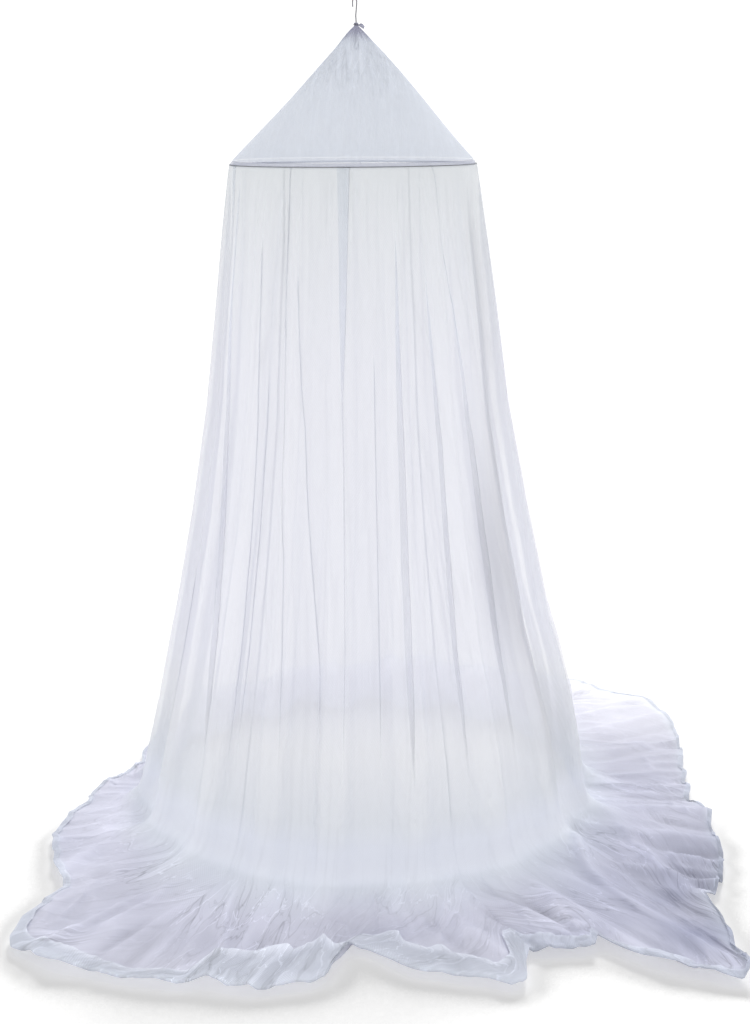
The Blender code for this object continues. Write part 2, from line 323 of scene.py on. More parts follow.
def setStudio():
    clearSelection()
    bpy.ops.mesh.primitive_plane_add(size=studio["floorSize"], location=(0, 0, 0))
    floor = bpy.context.object
    floor.name = "studioFloor"
    for vert in floor.data.vertices:
        vert.co.z = -canopySizes["hangHeight"]
    floor.data.materials.append(floorPaper())
    # an even white room, seen a little brighter than it lights
    sky = Shade(bpy.data.worlds.new("studioWorld"))
    seen = sky.node("ShaderNodeLightPath").outputs["Is Camera Ray"]
    power = sky.wire("ShaderNodeMapRange", i0=seen, i3=studio["skyLight"], i4=studio["skySeen"])
    back = sky.node("ShaderNodeBackground", Color=(1.0, 1.0, 1.0, 1.0), Strength=power)
    sky.node("ShaderNodeOutputWorld", Surface=back.outputs[0])
    scene = bpy.context.scene
    scene.world = sky.owner
    # soft sun from behind and above, towards the viewer
    lamp = bpy.data.lights.new("softSun", "SUN")
    lamp.energy = studio["sunPower"]
    lamp.angle = math.radians(studio["sunAngle"])
    lift = math.radians(studio["sunElevation"])
    aim = Vector((studio["sunSideways"], -math.cos(lift), -math.sin(lift)))
    sun = linkNew("softSun", lamp)
    sun.rotation_mode = "QUATERNION"
    sun.rotation_quaternion = aim.to_track_quat("-Z", "Y")
    scene.view_settings.view_transform = "Standard"
    scene.cycles.transparent_max_bounces = studio["clearBounces"]
    scene.cycles.max_bounces = studio["bounces"]
    return floor


# sheer net
netWeave = {
    "cellSize": 0.0026,
    "holeEdge": (-1.3, 0.9),
    "cover": 0.32,
    "coverSwing": 0.14,
    "coverMiddle": 0.42,
    "longCreases": (17.0, 2.6, 1.0),
    "shortCreases": (44.0, 9.0, 1.0),
    "facetStretch": (1.1, 2.6, 1.0),
    "facetScale": 0.9,
    "longEdge": 0.020,
    "shortEdge": 0.024,
    "facetEdge": 0.028,
    "creaseShade": 0.32,
    "creaseHighlight": 0.30,
    "creaseCover": 0.6,
    "runScale": (38.0, 0.9, 1.0),
    "runEdge": 0.035,
    "runDark": 0.045,
    "runCover": 4.0,
    "roughness": 0.85,
    "gloss": 0.12,
    "bump": 0.0003,
    "creaseBump": 0.0035,
}


def netCloth(name, longCreases=netWeave["longCreases"], shortCreases=netWeave["shortCreases"]):
    # hexagonal cells of thread on the cloth's own map, closed up where the cloth is gathered
    shade = Shade(bpy.data.materials.new(name))
    uv = shade.node("ShaderNodeUVMap", {"uv_map": "clothMap"}).outputs[0]
    split = shade.node("ShaderNodeSeparateXYZ", Vector=uv)
    turn = 2 * math.pi / netWeave["cellSize"]
    x, y = (Wire(shade, split.outputs[i]) * turn for i in range(2))
    slant = y * (math.sqrt(3) / 2)
    # 3 in a hole, -1.5 on a thread
    cells = x.cosine() + (x * 0.5 + slant).cosine() + (x * 0.5 - slant).cosine()
    thread = 1.0 - cells.fade(*netWeave["holeEdge"])
    gather, crease = (shade.wire("ShaderNodeAttribute", {"attribute_name": field}, out="Fac")
                      for field in ("gather", "crease"))
    tint = shade.node("ShaderNodeAttribute", {"attribute_name": "tint"}).outputs["Color"]
    # creases run down the cloth, with short ones and crumpled facets between them; the crease lines are
    # denser and painted darker as shade, and the facet edges and crests painted lighter as highlights
    longSpot, shortSpot, runSpot = (shade.node("ShaderNodeMapping", Vector=uv, Scale=scale).outputs[0]
                                    for scale in (longCreases, shortCreases, netWeave["runScale"]))
    longField = shade.noise(longSpot, 2.0, 0.45, 0.5)
    shortField = shade.noise(shortSpot, 2.0, 0.5, 0.8)
    runField = shade.noise(runSpot, 1.0, 0.4, 0.0)
    bent = shade.wire("ShaderNodeVectorMath", {"operation": "MULTIPLY_ADD"}, i0=longSpot,
                      i1=netWeave["facetStretch"], i2=shortField)
    facets = shade.wire("ShaderNodeTexVoronoi", {"voronoi_dimensions": "2D", "feature": "DISTANCE_TO_EDGE"},
                        Vector=bent, Scale=netWeave["facetScale"])
    longLine = 1.0 - (longField - 0.5).size().fade(0.0, netWeave["longEdge"])
    shortLine = 1.0 - (shortField - 0.52).size().fade(0.0, netWeave["shortEdge"])
    facetLine = 1.0 - facets.fade(0.0, netWeave["facetEdge"])
    dark = (longLine * 0.7 + shortLine * 0.5) * crease
    light = (facetLine * 0.8 + (longField - 0.56).fade(0.0, 0.02) * 0.35) * crease
    # faint darker runs of thread down the part that hangs free
    run = 1.0 - (runField - 0.52).size().fade(0.0, netWeave["runEdge"])
    runs = run * (1.0 - crease.fade(0.0, 0.4)) * netWeave["runDark"]
    cover = (thread - netWeave["coverMiddle"]) * netWeave["coverSwing"] + netWeave["cover"]
    # layers of gathered net let through less and less
    denser = 1.0 + dark * netWeave["creaseCover"] + runs * netWeave["runCover"]
    layers = gather * (0.94 + shortField * 0.12) * denser
    clear = (1.0 - cover) ** layers
    # painted shade on the crease lines and painted highlights on the facet edges and crests, with the
    # darker runs of thread
    strength = 1.0 - dark * netWeave["creaseShade"] + light * netWeave["creaseHighlight"] - runs
    bsdf = shade.node("ShaderNodeBsdfPrincipled", Base_Color=shade.scaled(tint, strength),
                      Alpha=1.0 - clear, Roughness=netWeave["roughness"],
                      Specular_IOR_Level=netWeave["gloss"])
    folds = shade.node("ShaderNodeBump", Strength=0.9, Distance=netWeave["creaseBump"],
                       Height=(longField + shortField * 0.4 + facets * 0.12) * crease)
    weave = shade.node("ShaderNodeBump", Strength=0.2, Distance=netWeave["bump"], Height=thread,
                       Normal=folds.outputs[0])
    shade.put(bsdf, "Normal", weave.outputs[0])
    shade.node("ShaderNodeOutputMaterial", Surface=bsdf.outputs[0])
    return shade.owner


# solid finishes: colour, metallic, roughness, scale of the grain, depth of the grain
finishes = {
    "drawnSteelWire": ((0.30, 0.30, 0.32, 1.0), 1.0, 0.42, 900.0, 0.0001),
    "coatedHoopRod": ((0.60, 0.61, 0.68, 1.0), 0.0, 0.5, 500.0, 0.0001),
    "tieThread": ((0.20, 0.20, 0.24, 1.0), 0.0, 0.8, 3000.0, 0.0002),
}


def plainFinish(name):
    colour, metallic, roughness, grainScale, grainDepth = finishes[name]
    shade = Shade(bpy.data.materials.new(name))
    spot = shade.node("ShaderNodeTexCoord").outputs["Object"]
    uneven = shade.wire("ShaderNodeTexNoise", {"noise_dimensions": "3D"}, Vector=spot,
                        Scale=grainScale, Detail=4.0)
    dark = tuple(c * 0.7 for c in colour[:3]) + (1.0,)
    tint = shade.wire("ShaderNodeMix", {"data_type": "RGBA"}, out=2, Factor=uneven.fade(0.3, 0.7),
                      i6=dark, i7=colour)
    bsdf = shade.node("ShaderNodeBsdfPrincipled", Base_Color=tint, Metallic=metallic,
                      Roughness=roughness - 0.08 + uneven * 0.16)
    bump = shade.node("ShaderNodeBump", Strength=0.4, Distance=grainDepth, Height=uneven)
    shade.put(bsdf, "Normal", bump.outputs[0])
    shade.node("ShaderNodeOutputMaterial", Surface=bsdf.outputs[0])
    return shade.owner


# sheets from rows of points
def clothMap(points):
    # distance along the cloth from its middle column, and down it
    acrossSteps = np.linalg.norm(np.diff(points, axis=1), axis=2)
    u = np.concatenate([np.zeros((len(points), 1)), np.cumsum(acrossSteps, axis=1)], axis=1)
    u = u - u[:, u.shape[1] // 2][:, None]
    downSteps = np.linalg.norm(np.diff(points, axis=0), axis=2).mean(axis=1)
    v = np.concatenate([[0.0], np.cumsum(downSteps)])
    return np.stack([u, np.repeat(-v[:, None], points.shape[1], axis=1)], axis=2)


def sheetFrom(name, points, material, gather, crease, tint):
    # gather: how many times closer the threads lie; crease: how creased; tint: the threads' colour, with
    # painted light and shade in it
    sheet, down, across = makeGrid(name, *points.shape[:2])
    mesh = sheet.data
    mesh.vertices.foreach_set("co", points[down, across].ravel())
    corner = cornersOf(mesh)
    while mesh.uv_layers:
        mesh.uv_layers.remove(mesh.uv_layers[0])
    uvs = clothMap(points)[down[corner], across[corner]]
    mesh.uv_layers.new(name="clothMap").data.foreach_set("uv", uvs.astype(np.float32).ravel())
    for label, values in (("gather", gather), ("crease", crease)):
        kept = mesh.attributes.new(label, "FLOAT", "POINT")
        kept.data.foreach_set("value", values[down, across].astype(np.float32))
    kept = mesh.attributes.new("tint", "FLOAT_COLOR", "POINT")
    colour = np.concatenate([tint[down, across], np.ones((len(down), 1))], axis=1)
    kept.data.foreach_set("color", colour.astype(np.float32).ravel())
    mesh.materials.append(material)
    pickOnly(sheet)
    bpy.ops.object.shade_smooth()
    return sheet


def placeAll(x, y, z):
    # from the floor under the hoop to the frame, with the hoop's slight tilt
    hoop, room = canopySizes["hoopHeight"], canopySizes["tiltRoom"]
    share = np.clip((z - canopySizes["tiltFrom"]) / (hoop - canopySizes["tiltFrom"]), 0.0, 1.0)
    above = np.clip(1.0 - (z - hoop - room) / canopySizes["tiltFade"], 0.0, 1.0)
    share = np.where(z > hoop + room, above, share)
    return x + canopySizes["axisX"], y, z + canopySizes["hoopTilt"] * x * share - canopySizes["hangHeight"]


def angleRound(points):
    # how far round from the front each point is
    return np.arctan2(points[..., 0] - canopySizes["axisX"], -points[..., 1])


# one row per fold: crest angle at the hoop, at the foot and at the hem, valley angle after it at the hem,
# depth factor
foldRows = [
    (-22, -21, -18.5, -14.5, 0.8), (-4, -5, -9.5, -2, 0.7), (15, 15, 14, 24.5, 0.95),
    (35, 35, 31, 36.7, 0.85), (55, 57, 42, 52.5, 1.25), (76, 77, 60.5, 70, 1.1), (99, 97, 80, 89, 1.05),
    (118, 115, 101, 111, 0.9), (136, 134, 122, 133, 1.15), (156, 154, 143, 155, 1),
    (177, 176, 167, 179, 0.9), (196, 196, 190, 201, 1.1), (216, 216, 212, 223, 0.85),
    (237, 237, 234, 245, 1), (258, 258, 256, 265, 1.1), (279, 278, 274, 284, 1.15),
    (300, 299, 295, 308, 0.9), (320, 320, 318.5, 331, 1.05),
]

# height above the floor, crest radius towards -X, crest radius towards +X
profileRows = [
    (1.7, 0.3015, 0.3015), (1.655, 0.3015, 0.3015), (1.52, 0.322, 0.32), (1.32, 0.344, 0.352),
    (1.07, 0.374, 0.388), (0.81, 0.418, 0.443), (0.545, 0.476, 0.51), (0.3, 0.535, 0.6),
    (0.09, 0.585, 0.65), (0, 0.605, 0.67),
]

# rows from the hoop to the hem: valley height, share of the way to the hem, fold depth outwards,
# rise of the crest, share of the hem's roll
netRows = [
    (1.661, 0, 0, 0, 0), (1.636, 0, 0.002, 0, 0), (1.5, 0, 0.024, 0, 0), (1.25, 0, 0.045, 0, 0),
    (0.95, 0, 0.062, 0, 0), (0.65, 0, 0.072, 0, 0), (0.38, 0, 0.085, 0, 0), (0.17, 0, 0.09, 0.01, 0),
    (0.045, 0, 0.072, 0.034, 0), (0, 0.08, 0.05, 0.056, 0), (0, 0.22, 0.028, 0.043, 0),
    (0, 0.4, 0.012, 0.034, 0), (0, 0.58, 0, 0.028, 0.1), (0, 0.74, 0, 0.024, 0.55),
    (0, 0.87, 0, 0.019, 1), (0, 0.95, 0, 0.014, 0.8), (0, 1, 0, 0.008, 0.15),
]

# outline of the hem on the floor: angle, reach from the axis, height of the roll behind the edge
hemRows = [
    (-30, 1.08, 0.016), (-25, 1.068, 0.022), (-18.5, 1.035, 0.024), (-16.3, 1.002, 0.018),
    (-13.6, 1.036, 0.022), (-7.6, 1.014, 0.03), (-4.3, 0.995, 0.034), (-2, 0.81, 0.004),
    (3.5, 0.864, 0.024), (8.2, 0.95, 0.03), (12.5, 0.985, 0.03), (17.5, 1.038, 0.026), (20, 1.04, 0.02),
    (24.5, 0.91, 0.006), (29, 0.955, 0.016), (33, 0.985, 0.02), (36.7, 0.95, 0.01), (39, 1.16, 0.022),
    (41.8, 1.255, 0.034), (44, 1.21, 0.03), (48.5, 1.115, 0.016), (52.6, 0.984, 0.008),
    (58.7, 1.014, 0.016), (62.5, 0.98, 0.01), (67.6, 0.994, 0.018), (76, 0.935, 0.01),
    (80.4, 0.952, 0.016), (88.7, 0.889, 0.008), (94.5, 0.921, 0.012), (104.6, 0.958, 0.018),
    (119, 1.138, 0.02), (129.8, 1.243, 0.024), (137, 1.18, 0.012), (141, 1.27, 0.02), (150, 1.13, 0.018),
    (160, 1.06, 0.01), (170, 1.11, 0.02), (181, 1.01, 0.008), (190, 1.03, 0.018), (202, 0.9, 0.008),
    (212, 0.93, 0.02), (224, 0.77, 0.01), (236, 0.72, 0.014), (252, 0.655, 0.004), (260, 0.7, 0.01),
    (268, 0.722, 0.014), (274, 0.709, 0.008), (282, 0.768, 0.014), (290, 0.825, 0.02), (298, 0.85, 0.016),
    (307.5, 0.86, 0.006), (311, 0.965, 0.02), (315, 1.09, 0.03), (319, 1.112, 0.03), (326, 1.108, 0.022),
    (330, 1.08, 0.016),
]

# the laid out net, and how its mesh is made; row numbers are those of netRows
netLook = {
    "stepsPerFold": 24,
    "rowSpacing": 0.017,
    "spread": 0.055,
    "footRow": 8.0,
    "unevenRows": (5.0, 9.0),
    "uneven": 0.0015,
    "unevenSeed": 7,
    "liftOff": 0.0016,
    "goreWidth": 1.25,
    "goreLength": 2.10,
    "goreArea": 1.60,
}


def angleKnots(index):
    # the angles of the crests and of the valleys between them, with a few folds more at both ends
    count = len(foldRows)
    xs, ys = [], []
    for i in range(-2, count + 3):
        row, after = foldRows[i % count], foldRows[(i + 1) % count]
        crest = row[index] + 360.0 * (i // count)
        nextCrest = after[index] + 360.0 * ((i + 1) // count)
        valley = row[3] + 360.0 * (i // count) if index == 2 else 0.5 * (crest + nextCrest)
        xs += [i, i + 0.5]
        ys += [crest, valley]
    return np.array(xs), np.radians(np.array(ys))


def crestRadius(theta, height):
    left, right = (fromRows(profileRows[::-1], height, i) for i in (1, 2))
    return 0.5 * (left + right) + 0.5 * (right - left) * np.sin(theta)


def netShape(phase, row):
    # where the net is laid: phase counts the folds round it, row goes from the hoop to the hem
    base, share, depth, ridge, rollShare = (easedRows(column(netRows, i), row) for i in range(5))
    spread = netLook["spread"] * np.sin(4 * np.pi * phase) * np.minimum(1.0, row / 4.0) * (1 - share)
    wave = 0.5 + 0.5 * np.cos(2 * np.pi * phase)
    count = len(foldRows)
    factorAt = np.arange(-2, count + 3)
    factor = np.interp(phase, factorAt, [foldRows[i % count][4] for i in factorAt])
    hoopAngle = np.interp(phase + spread, *angleKnots(0))
    footAngle = np.interp(phase + spread, *angleKnots(1))
    hemAngle = np.interp(phase, *angleKnots(2))
    theta = hoopAngle + (footAngle - hoopAngle) * np.minimum(1.0, row / netLook["footRow"]) ** 2
    theta = theta + (hemAngle - theta) * share ** 1.2
    degrees = (np.degrees(theta) + 30.0) % 360.0 - 30.0
    reach, roll = (fromRows(hemRows, degrees, i) for i in (1, 2))
    outwards = (reach - crestRadius(theta, 0.0)) * share
    radius = crestRadius(theta, base) + outwards + depth * factor * (wave - 1)
    onFloor = np.clip(row - netLook["footRow"], 0.0, 1.0)
    rise = ridge * factor * wave ** (1.0 + 0.5 * onFloor) + roll * rollShare - 0.004 * onFloor
    return radius * np.sin(theta), -radius * np.cos(theta), base + np.maximum(0.0, rise) + 0.0008


def netRowNumbers():
    # rows an even distance apart
    knots = np.arange(len(netRows))
    phase = np.linspace(0, len(foldRows), 37)
    lines = [np.array(netShape(phase, np.full(phase.shape, float(i)))) for i in knots]
    lengths = [np.linalg.norm(b - a, axis=0).mean() for a, b in zip(lines, lines[1:])]
    total = np.concatenate([[0], np.cumsum(lengths)])
    count = int(round(total[-1] / netLook["rowSpacing"]))
    return np.interp(np.linspace(0, total[-1], count + 1), total, knots)


def drapeNet(floor):
    # one sheet all the way round, pinned at the hoop, let go over the floor
    rows = netRowNumbers()
    perFold = netLook["stepsPerFold"]
    steps = len(foldRows) * perFold
    net, down, across = makeGrid("netDrape", len(rows), steps + 1)
    mesh = net.data
    placed = np.stack(placeAll(*netShape((across % steps) / perFold - 0.5, rows[down])), axis=1)
    pick = np.random.RandomState(netLook["unevenSeed"])
    uneven = pick.normal(size=(len(rows), steps, 3)) * netLook["uneven"]
    low, high = netLook["unevenRows"]
    placed += uneven[down, across % steps] * np.clip((rows[down] - low) / (high - low), 0, 1)[:, None]
    mesh.vertices.foreach_set("co", placed.ravel())
    corner = cornersOf(mesh)
    kept = np.stack([across[corner] % steps, down[corner]], axis=1)
    mesh.uv_layers[0].data.foreach_set("uv", kept.astype(np.float32).ravel())
    weld(net, 1e-5)
    # where each point belongs in the rows and columns
    where = np.empty(len(mesh.loops) * 2, dtype=np.float32)
    mesh.uv_layers[0].data.foreach_get("uv", where)
    where = np.rint(where.reshape(-1, 2)).astype(int)
    corner = cornersOf(mesh)
    col = np.zeros(len(mesh.vertices), dtype=int)
    row = np.zeros(len(mesh.vertices), dtype=int)
    col[corner], row[corner] = where[:, 0], where[:, 1]
    say("net sheet of %d points" % len(mesh.vertices))
    settle(net, floor, rows[row])
    points = np.zeros((len(rows), steps, 3))
    points[row, col] = pointsOf(net.data)
    bpy.data.objects.remove(net, do_unlink=True)
    return rows, points


# how the net is let down: its cloth, the floor, and how much more cloth there is towards the hem
drapeLook = {
    "frames": 24,
    "quickFrames": 3,
    "quality": 5,
    "mass": 0.03,
    "stretch": 15,
    "shear": 5,
    "bending": 0.05,
    "airDamping": 1.0,
    "clothGap": 0.004,
    "floorGap": 0.002,
    "floorGrip": 20,
    "heldRows": 1.2,
    "growthHanging": 0.003,
    "growthFloor": 0.25,
    "growthSteps": 20,
    "growthRows": (6.0, 9.0, 13.0, 16.0),
    "growthShares": (0.0, 0.3, 0.6, 1.0),
}


def settle(net, floor, rowOf):
    held = net.vertex_groups.new(name="held")
    loose = net.vertex_groups.new(name="loose")
    held.add([int(i) for i in np.nonzero(rowOf < drapeLook["heldRows"])[0]], 1.0, "REPLACE")
    steps = drapeLook["growthSteps"]
    spare = np.interp(rowOf, drapeLook["growthRows"], drapeLook["growthShares"])
    spare = np.rint(spare * steps).astype(int)
    for step in range(1, steps + 1):
        loose.add([int(i) for i in np.nonzero(spare == step)[0]], step / steps, "REPLACE")
    pickOnly(net)
    drape = net.modifiers.new("drape", "CLOTH")
    cloth = drape.settings
    cloth.quality = drapeLook["quality"]
    cloth.mass = drapeLook["mass"]
    cloth.tension_stiffness = drapeLook["stretch"]
    cloth.compression_stiffness = drapeLook["stretch"]
    cloth.shear_stiffness = drapeLook["shear"]
    cloth.bending_stiffness = drapeLook["bending"]
    cloth.air_damping = drapeLook["airDamping"]
    cloth.vertex_group_mass = "held"
    cloth.vertex_group_shrink = "loose"
    cloth.shrink_min = -drapeLook["growthHanging"]
    cloth.shrink_max = -drapeLook["growthFloor"]
    drape.collision_settings.distance_min = drapeLook["clothGap"]
    drape.collision_settings.use_self_collision = False
    floor.modifiers.new("touch", "COLLISION")
    floor.collision.thickness_outer = drapeLook["floorGap"]
    floor.collision.cloth_friction = drapeLook["floorGrip"]
    scene = bpy.context.scene
    last = drapeLook["frames"]
    scene.frame_start, scene.frame_end = 1, last
    drape.point_cache.frame_start, drape.point_cache.frame_end = 1, last
    for f in range(1, last + 1):
        scene.frame_set(f)
    pickOnly(net)
    bpy.ops.object.modifier_apply(modifier="drape")
    floor.modifiers.remove(floor.modifiers["touch"])
    scene.frame_set(1)
    say("net settled")


# how much wider the net hangs than the drape: row, on the right, on the left
widerRows = [
    (0, 0, 0), (1, 0.003, 0), (2.5, 0.012, 0.002), (3.6, 0.018, 0.004), (4.6, 0.025, 0.006),
    (5.75, 0.026, 0.006), (6.7, 0.012, 0.003), (7.6, 0, 0),
]

easeLook = {
    "calmTurns": 9,
    "calmRows": (7.0, 8.4),
    "edgeRows": (12.5, 15.5),
    "edgeCalm": (0.85, 0.85, 0.3),
    "foldEase": 0.5,
    "foldRowsIn": (1.0, 3.0),
    "foldRowsOut": (8.0, 9.6),
    "backShare": 0.6,
}


def calm(points, rows):
    # takes the short ripples out of the cloth from the foot of the net outwards
    low = smooth(rows, *easeLook["calmRows"])[:, None, None]
    edge = smooth(rows, *easeLook["edgeRows"])[:, None, None]
    share = low * (1 - np.array(easeLook["edgeCalm"]) * edge)
    for turn in range(easeLook["calmTurns"]):
        near = (np.roll(points, 1, axis=1) + 2 * points + np.roll(points, -1, axis=1)) / 4
        near[1:-1] = (near[:-2] + 2 * near[1:-1] + near[2:]) / 4
        points = points * (1 - share) + near * share
    return points


def easeFolds(points, rows):
    # draws the deep folds of the hanging net in towards its mean surface
    fold = netLook["stepsPerFold"]
    wide = np.concatenate([points[:, -fold // 2:], points, points[:, :fold // 2]], axis=1)
    total = np.cumsum(np.concatenate([0 * wide[:, :1], wide], axis=1), axis=1)
    mean = (total[:, fold + 1:] - total[:, :-fold - 1]) / (fold + 1)
    out = mean - np.array([canopySizes["axisX"], 0, 0])
    out[..., 2] = 0
    out = unit(out, 0)
    share = smooth(rows, *easeLook["foldRowsIn"]) * (1 - smooth(rows, *easeLook["foldRowsOut"]))
    share = (share * easeLook["foldEase"])[:, None, None]
    share = share * (1 - easeLook["backShare"] * np.clip(out[..., 1:2] + 0.3, 0, 1))   # less at the back
    # and out again as far as the crests stood
    depth = easedRows(column(netRows, 2), rows)[:, None, None]
    right, left = (fromRows(widerRows, rows, i)[:, None] for i in (1, 2))
    wider = np.where(out[..., 0] > 0, right, left) * np.abs(out[..., 0])
    return points + (mean - points + 0.5 * depth * out) * share + out * wider[..., None]


def finer(points):
    # smooth in-between points: round the columns, which close, and down the rows
    before, after = np.roll(points, 1, axis=1), np.roll(points, -1, axis=1)
    beyond = np.roll(points, -2, axis=1)
    wide = np.empty((points.shape[0], points.shape[1] * 2, 3))
    wide[:, 0::2], wide[:, 1::2] = points, (-before + 9 * points + 9 * after - beyond) / 16.0
    padded = np.concatenate([2 * wide[:1] - wide[1:2], wide, 2 * wide[-1:] - wide[-2:-1]], axis=0)
    tall = np.empty((wide.shape[0] * 2 - 1, wide.shape[1], 3))
    tall[0::2] = wide
    tall[1::2] = (-padded[:-3] + 9 * padded[1:-2] + 9 * padded[2:-1] - padded[3:]) / 16.0
    return tall


# long folds over the train: height, half width, painted highlight (above 0) or painted shade (below 0),
# then degrees from the front and reach along each
trainFolds = [
    (-0.006, 0.045, -0.1, (-45, 0.72), (-43, 0.92), (-42, 1.06)),
    (0.012, 0.011, 0.12, (-36, 0.64), (-39, 0.86), (-38, 1.09)),
    (0.008, 0.032, 0.06, (-35, 0.74), (-34, 0.94), (-33, 1.08)),
    (-0.006, 0.011, -0.12, (-32, 0.8), (-32, 0.95), (-30, 1.06)),
    (0.007, 0.01, 0.1, (-27, 0.8), (-26, 0.94), (-25, 1.04)),
    (-0.005, 0.012, -0.08, (-29, 0.86), (-28, 0.95), (-27, 1.03)),
    (0.006, 0.009, 0.08, (-25, 0.7), (-23, 0.86), (-22, 0.92)),
    (0.012, 0.01, 0.14, (-26, 0.6), (-24, 0.69), (-20, 0.82), (-15, 0.94), (-11, 1)),
    (0.007, 0.009, 0.1, (-38, 0.68), (-36, 0.79), (-36, 0.91)),
    (0.007, 0.009, 0.1, (-31, 0.69), (-31, 0.88), (-31, 1.04)),
    (0.006, 0.009, 0.08, (10, 0.65), (10, 0.74), (10, 0.86)),
    (-0.006, 0.016, -0.1, (-15, 0.76), (-13, 0.86), (-12, 0.92)),
    (-0.004, 0.05, -0.06, (-10, 0.72), (-4, 0.74), (4, 0.72)),
    (0.006, 0.014, 0.05, (6, 0.62), (8, 0.76), (9, 0.9)),
    (-0.005, 0.012, -0.09, (13, 0.68), (15, 0.8), (18, 0.96)),
    (0.008, 0.014, 0.08, (17, 0.66), (19, 0.8), (21, 0.96)),
    (-0.007, 0.01, -0.17, (27, 0.6), (31, 0.74), (35, 0.86)),
    (-0.006, 0.01, -0.15, (32, 0.66), (33, 0.79), (32, 0.9)),
    (-0.006, 0.01, -0.14, (24, 0.69), (25, 0.8), (25, 0.9)),
    (0.006, 0.009, 0.09, (22, 0.63), (16, 0.74), (13, 0.84)),
    (0.009, 0.016, 0.08, (28, 0.64), (31, 0.8), (32, 0.94)),
    (-0.006, 0.01, -0.14, (30, 0.82), (34, 0.92), (34, 0.98)),
    (0.009, 0.018, 0.07, (39, 0.62), (37, 0.8), (36, 0.98)),
    (-0.006, 0.014, -0.1, (42, 0.66), (39, 0.86), (38, 1)),
    (-0.006, 0.016, -0.08, (49, 0.68), (44, 0.86), (41, 1.06)),
    (0.015, 0.018, 0.08, (68, 0.52), (62, 0.61), (50, 0.73), (44, 0.88), (41, 1.08)),
    (0.007, 0.009, 0.12, (46, 0.86), (43, 1), (42, 1.08), (42, 1.16)),
    (-0.008, 0.03, -0.1, (66, 0.62), (57, 0.75), (51, 0.9), (47, 1.1)),
    (0.012, 0.016, 0.1, (78, 0.66), (63, 0.78), (56, 0.88), (50, 1.02), (46, 1.14)),
    (-0.01, 0.022, -0.16, (59, 0.88), (53, 0.98), (48, 1.1)),
    (0.01, 0.018, 0.08, (93, 0.62), (91, 0.78), (90, 0.9)),
    (-0.008, 0.016, -0.08, (87, 0.66), (86, 0.8), (85, 0.92)),
    (0.012, 0.018, 0.1, (81, 0.7), (80, 0.83), (79, 0.96)),
    (-0.01, 0.016, -0.14, (77, 0.74), (75, 0.86), (74, 0.98)),
    (0.012, 0.018, 0.1, (71, 0.74), (70, 0.88), (70, 1)),
    (-0.01, 0.016, -0.18, (66, 0.76), (66, 0.88), (66, 1)),
    (0.012, 0.017, 0.1, (63, 0.8), (63, 0.92), (63, 1.02)),
    (-0.01, 0.015, -0.18, (60, 0.82), (59, 0.92), (59, 1.02)),
    (0.01, 0.015, 0.08, (57, 0.88), (57, 0.96), (57, 1.03)),
    (-0.006, 0.022, -0.08, (-68, 0.66), (-66, 0.76)),
    (0.009, 0.016, 0.1, (-60, 0.72), (-56, 0.8), (-52, 0.85)),
    (-0.007, 0.013, -0.12, (-50, 0.74), (-50, 0.86)),
    (0.007, 0.014, 0.07, (-80, 0.62), (-78, 0.74)),
    (-0.006, 0.012, -0.09, (-75, 0.64), (-73, 0.78)),
]

# how far the finished hem reaches from the axis: degrees round from the front, reach
hemReach = [
    (-47, 0.958), (-45.5, 1.034), (-43, 1.098), (-41, 1.126), (-38, 1.116), (-34.5, 1.122), (-30, 1.097),
    (-26, 1.092), (-22.5, 1.075), (-19.5, 1.074), (-16.5, 1.034), (-14, 1.048), (-10.5, 1.05),
    (-7, 1.018), (-4.5, 1.008), (-2.8, 0.984), (-1.5, 0.868), (0, 0.852), (2.8, 0.868), (5.4, 0.91),
    (8, 0.954), (12, 0.992), (16.5, 1.025), (18.5, 1.078), (20.5, 1.062), (22.5, 0.985), (24.2, 0.948),
    (27, 0.974), (31.8, 1.008), (33.6, 0.975), (34.6, 1.075), (36.2, 1.162), (38.2, 1.228), (39.6, 1.29),
    (41, 1.286), (42.2, 1.252), (43.2, 1.216), (46.1, 1.164), (49.4, 1.099), (52, 1.034), (56, 1.036),
    (60, 1.022), (65, 0.998), (71, 0.964), (76, 0.938), (80.5, 0.936), (86, 0.894), (91, 0.902),
    (98, 0.918), (103, 0.942), (107, 0.978), (113, 1.022), (119, 1.088), (127, 1.142), (135, 1.1),
    (141, 1.12), (150, 1.09), (160, 1.06), (170, 1.11), (181, 1.01), (190, 1.03), (202, 0.9), (212, 0.93),
    (224, 0.77), (236, 0.72), (252, 0.63), (260, 0.65), (270, 0.712), (276, 0.714), (284, 0.772),
    (291, 0.814), (297, 0.832), (303, 0.852), (308.5, 0.868), (311, 0.895), (313, 0.98),
]

# the cloth on the floor: heights and half widths in metres, scales in bumps to a unit
trainLook = {
    "softFolds": 30,
    "softSeed": 61,
    "softFrom": 98,
    "softStep": 4.6,
    "startRows": (7.6, 9.6),
    "edgeRows": (13.0, 16.0),
    "ridgeHeight": 0.010,
    "ridgeScale": 9,
    "creaseHeight": 0.003,
    "creaseScale": 21,
    "crumpleHeight": 0.006,
    "crumpleScale": 19,
    "crumplePatch": 7,
    "crumpleRows": (9.6, 12.0),
    "calmAngle": -82,
    "calmHalf": 24,
    "calmShare": 0.55,
    "pushRows": (9.5, 16.0),
    "ruffle": 0.008,
    "ruffleScale": 15,
    "frill": 0.004,
    "frillScale": 34,
    "puffRows": (14.0, 15.6),
    "puffHeight": 0.012,
    "knotAt": (0.812, -0.925),
    "knotHalf": 0.045,
    "knotRise": 0.012,
    "knotLump": 0.030,
    "knotScale": 34,
    "knotRing": 0.024,
}


